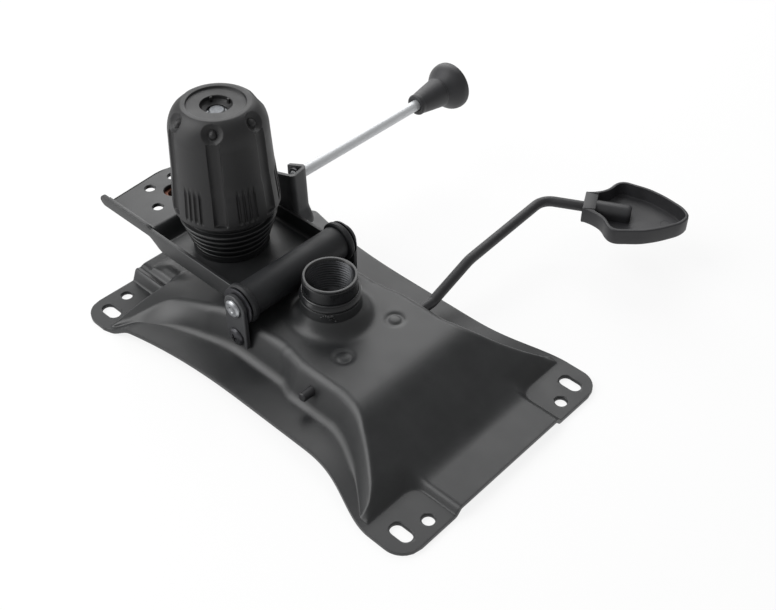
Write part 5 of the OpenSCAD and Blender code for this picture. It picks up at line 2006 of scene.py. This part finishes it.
@dataclass
class Studio:
    """Pale floor, soft lamps and the camera at the photograph's viewing angle.

    Attributes:
        eye: place of the camera in mm.
        target: point that the camera looks at in mm.
        lens: focal length in mm on a 36 mm sensor.
        floor_half: half the floor's side in mm.
        paper_glow: share of white that the floor shows to the camera.
        grey: strength of the light from all round.
        lamps: place, side in mm and power in watts of each lamp.
    """

    eye: tuple[float, float, float] = (368.7, -342.8, 491.0)
    target: tuple[float, float, float] = (-0.95, 50.95, 2.5)
    lens: float = 52.14
    floor_half: float = 30000.0
    paper_glow: float = 0.85
    grey: float = 0.4
    lamps: list[tuple[tuple[float, float, float], float, float]] = field(default_factory=lambda: [
        ((-560, 640, 720), 900, 6.5), ((-560, -560, 860), 900, 10.5),
        ((-800, 560, 300), 600, 1.2), ((-650, -800, 260), 600, 2.4)])

    def camera(self) -> None:
        """Places the camera and makes it the scene's own."""
        data = bpy.data.cameras.new("photograph_view")
        data.lens = self.lens
        data.sensor_width = 36
        data.clip_end = 100
        bpy.context.scene.camera = self.aimed(data, self.eye, self.target)

    def aimed(self, data: bpy.types.ID, place: Sequence[float],
              target: Sequence[float]) -> bpy.types.Object:
        """Puts a camera or lamp at a place in mm and turns it to a target.

        Args:
            data: the camera or lamp.
            place: where it stands.
            target: what it faces.

        Returns:
            The object.
        """
        obj = as_object(data)
        obj.location = Vector(place) * MM
        way = Vector(target) * MM - obj.location
        obj.rotation_euler = way.to_track_quat("-Z", "Y").to_euler()
        return obj

    def floor(self) -> None:
        """Pale floor that the camera sees as white with a soft shadow."""
        h = self.floor_half
        pts = np.array([[(-h, -h, -0.3), (h, -h, -0.3)], [(-h, h, -0.3), (h, h, -0.3)]], float)
        obj = as_object(Skin().grid(pts).mesh("studio_floor"))
        mat = bpy.data.materials.new("matt_white_paper")
        tree = bare_tree(mat)
        path = add_node(tree, "ShaderNodeLightPath").outputs
        seen = path["Is Camera Ray"]
        for operation, other in (("MAXIMUM", path["Is Glossy Ray"]),
                                 ("MAXIMUM", path["Is Transmission Ray"]),
                                 ("MULTIPLY", self.paper_glow)):
            seen = add_node(tree, "ShaderNodeMath", {0: seen, 1: other},
                            operation=operation).outputs["Value"]
        paper = add_node(tree, "ShaderNodeBsdfDiffuse", {"Color": linear("#efefef")})
        glow = add_node(tree, "ShaderNodeEmission", {"Color": (1, 1, 1, 1), "Strength": 1.0})
        both = add_node(tree, "ShaderNodeMixShader", {
            0: seen, 1: paper.outputs["BSDF"], 2: glow.outputs["Emission"]})
        add_node(tree, "ShaderNodeOutputMaterial", {"Surface": both.outputs["Shader"]})
        obj.data.materials.append(mat)

    def world(self) -> None:
        """Even grey light from all round, which the camera alone sees as white."""
        world = bpy.data.worlds.new("grey_tent")
        bpy.context.scene.world = world
        tree = bare_tree(world)
        path = add_node(tree, "ShaderNodeLightPath").outputs
        level = add_node(tree, "ShaderNodeMath", {
            0: path["Is Camera Ray"], 1: 1 - self.grey, 2: self.grey}, operation="MULTIPLY_ADD")
        light = add_node(tree, "ShaderNodeBackground", {
            "Color": (1, 1, 1, 1), "Strength": level.outputs["Value"]})
        add_node(tree, "ShaderNodeOutputWorld", {"Surface": light.outputs["Background"]})

    def lights(self) -> None:
        """Soft square lamps that face the object."""
        for i, (place, size, power) in enumerate(self.lamps):
            data = bpy.data.lights.new(f"soft_lamp_{i}", "AREA")
            data.size = size * MM
            data.energy = power
            self.aimed(data, place, (0, 0, 30))

    def build(self) -> None:
        """Sets camera, floor, world, lamps and colour handling."""
        self.camera()
        self.floor()
        self.world()
        self.lights()
        bpy.context.scene.view_settings.view_transform = "Standard"


def main() -> None:
    """Builds every sub-assembly in order."""
    logging.basicConfig(level=logging.INFO, format="%(message)s")
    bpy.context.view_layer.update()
    for maker in (Studio(), SeatPlate(), ColumnSocket(), Pivot(), TiltChannel(), LockBracket(),
                  BackrestNut(), TensionUnit(), GasLever(), LockLever()):
        LOG.info("building %s", type(maker).__name__)
        maker.build()


if __name__ == "__main__":
    main()
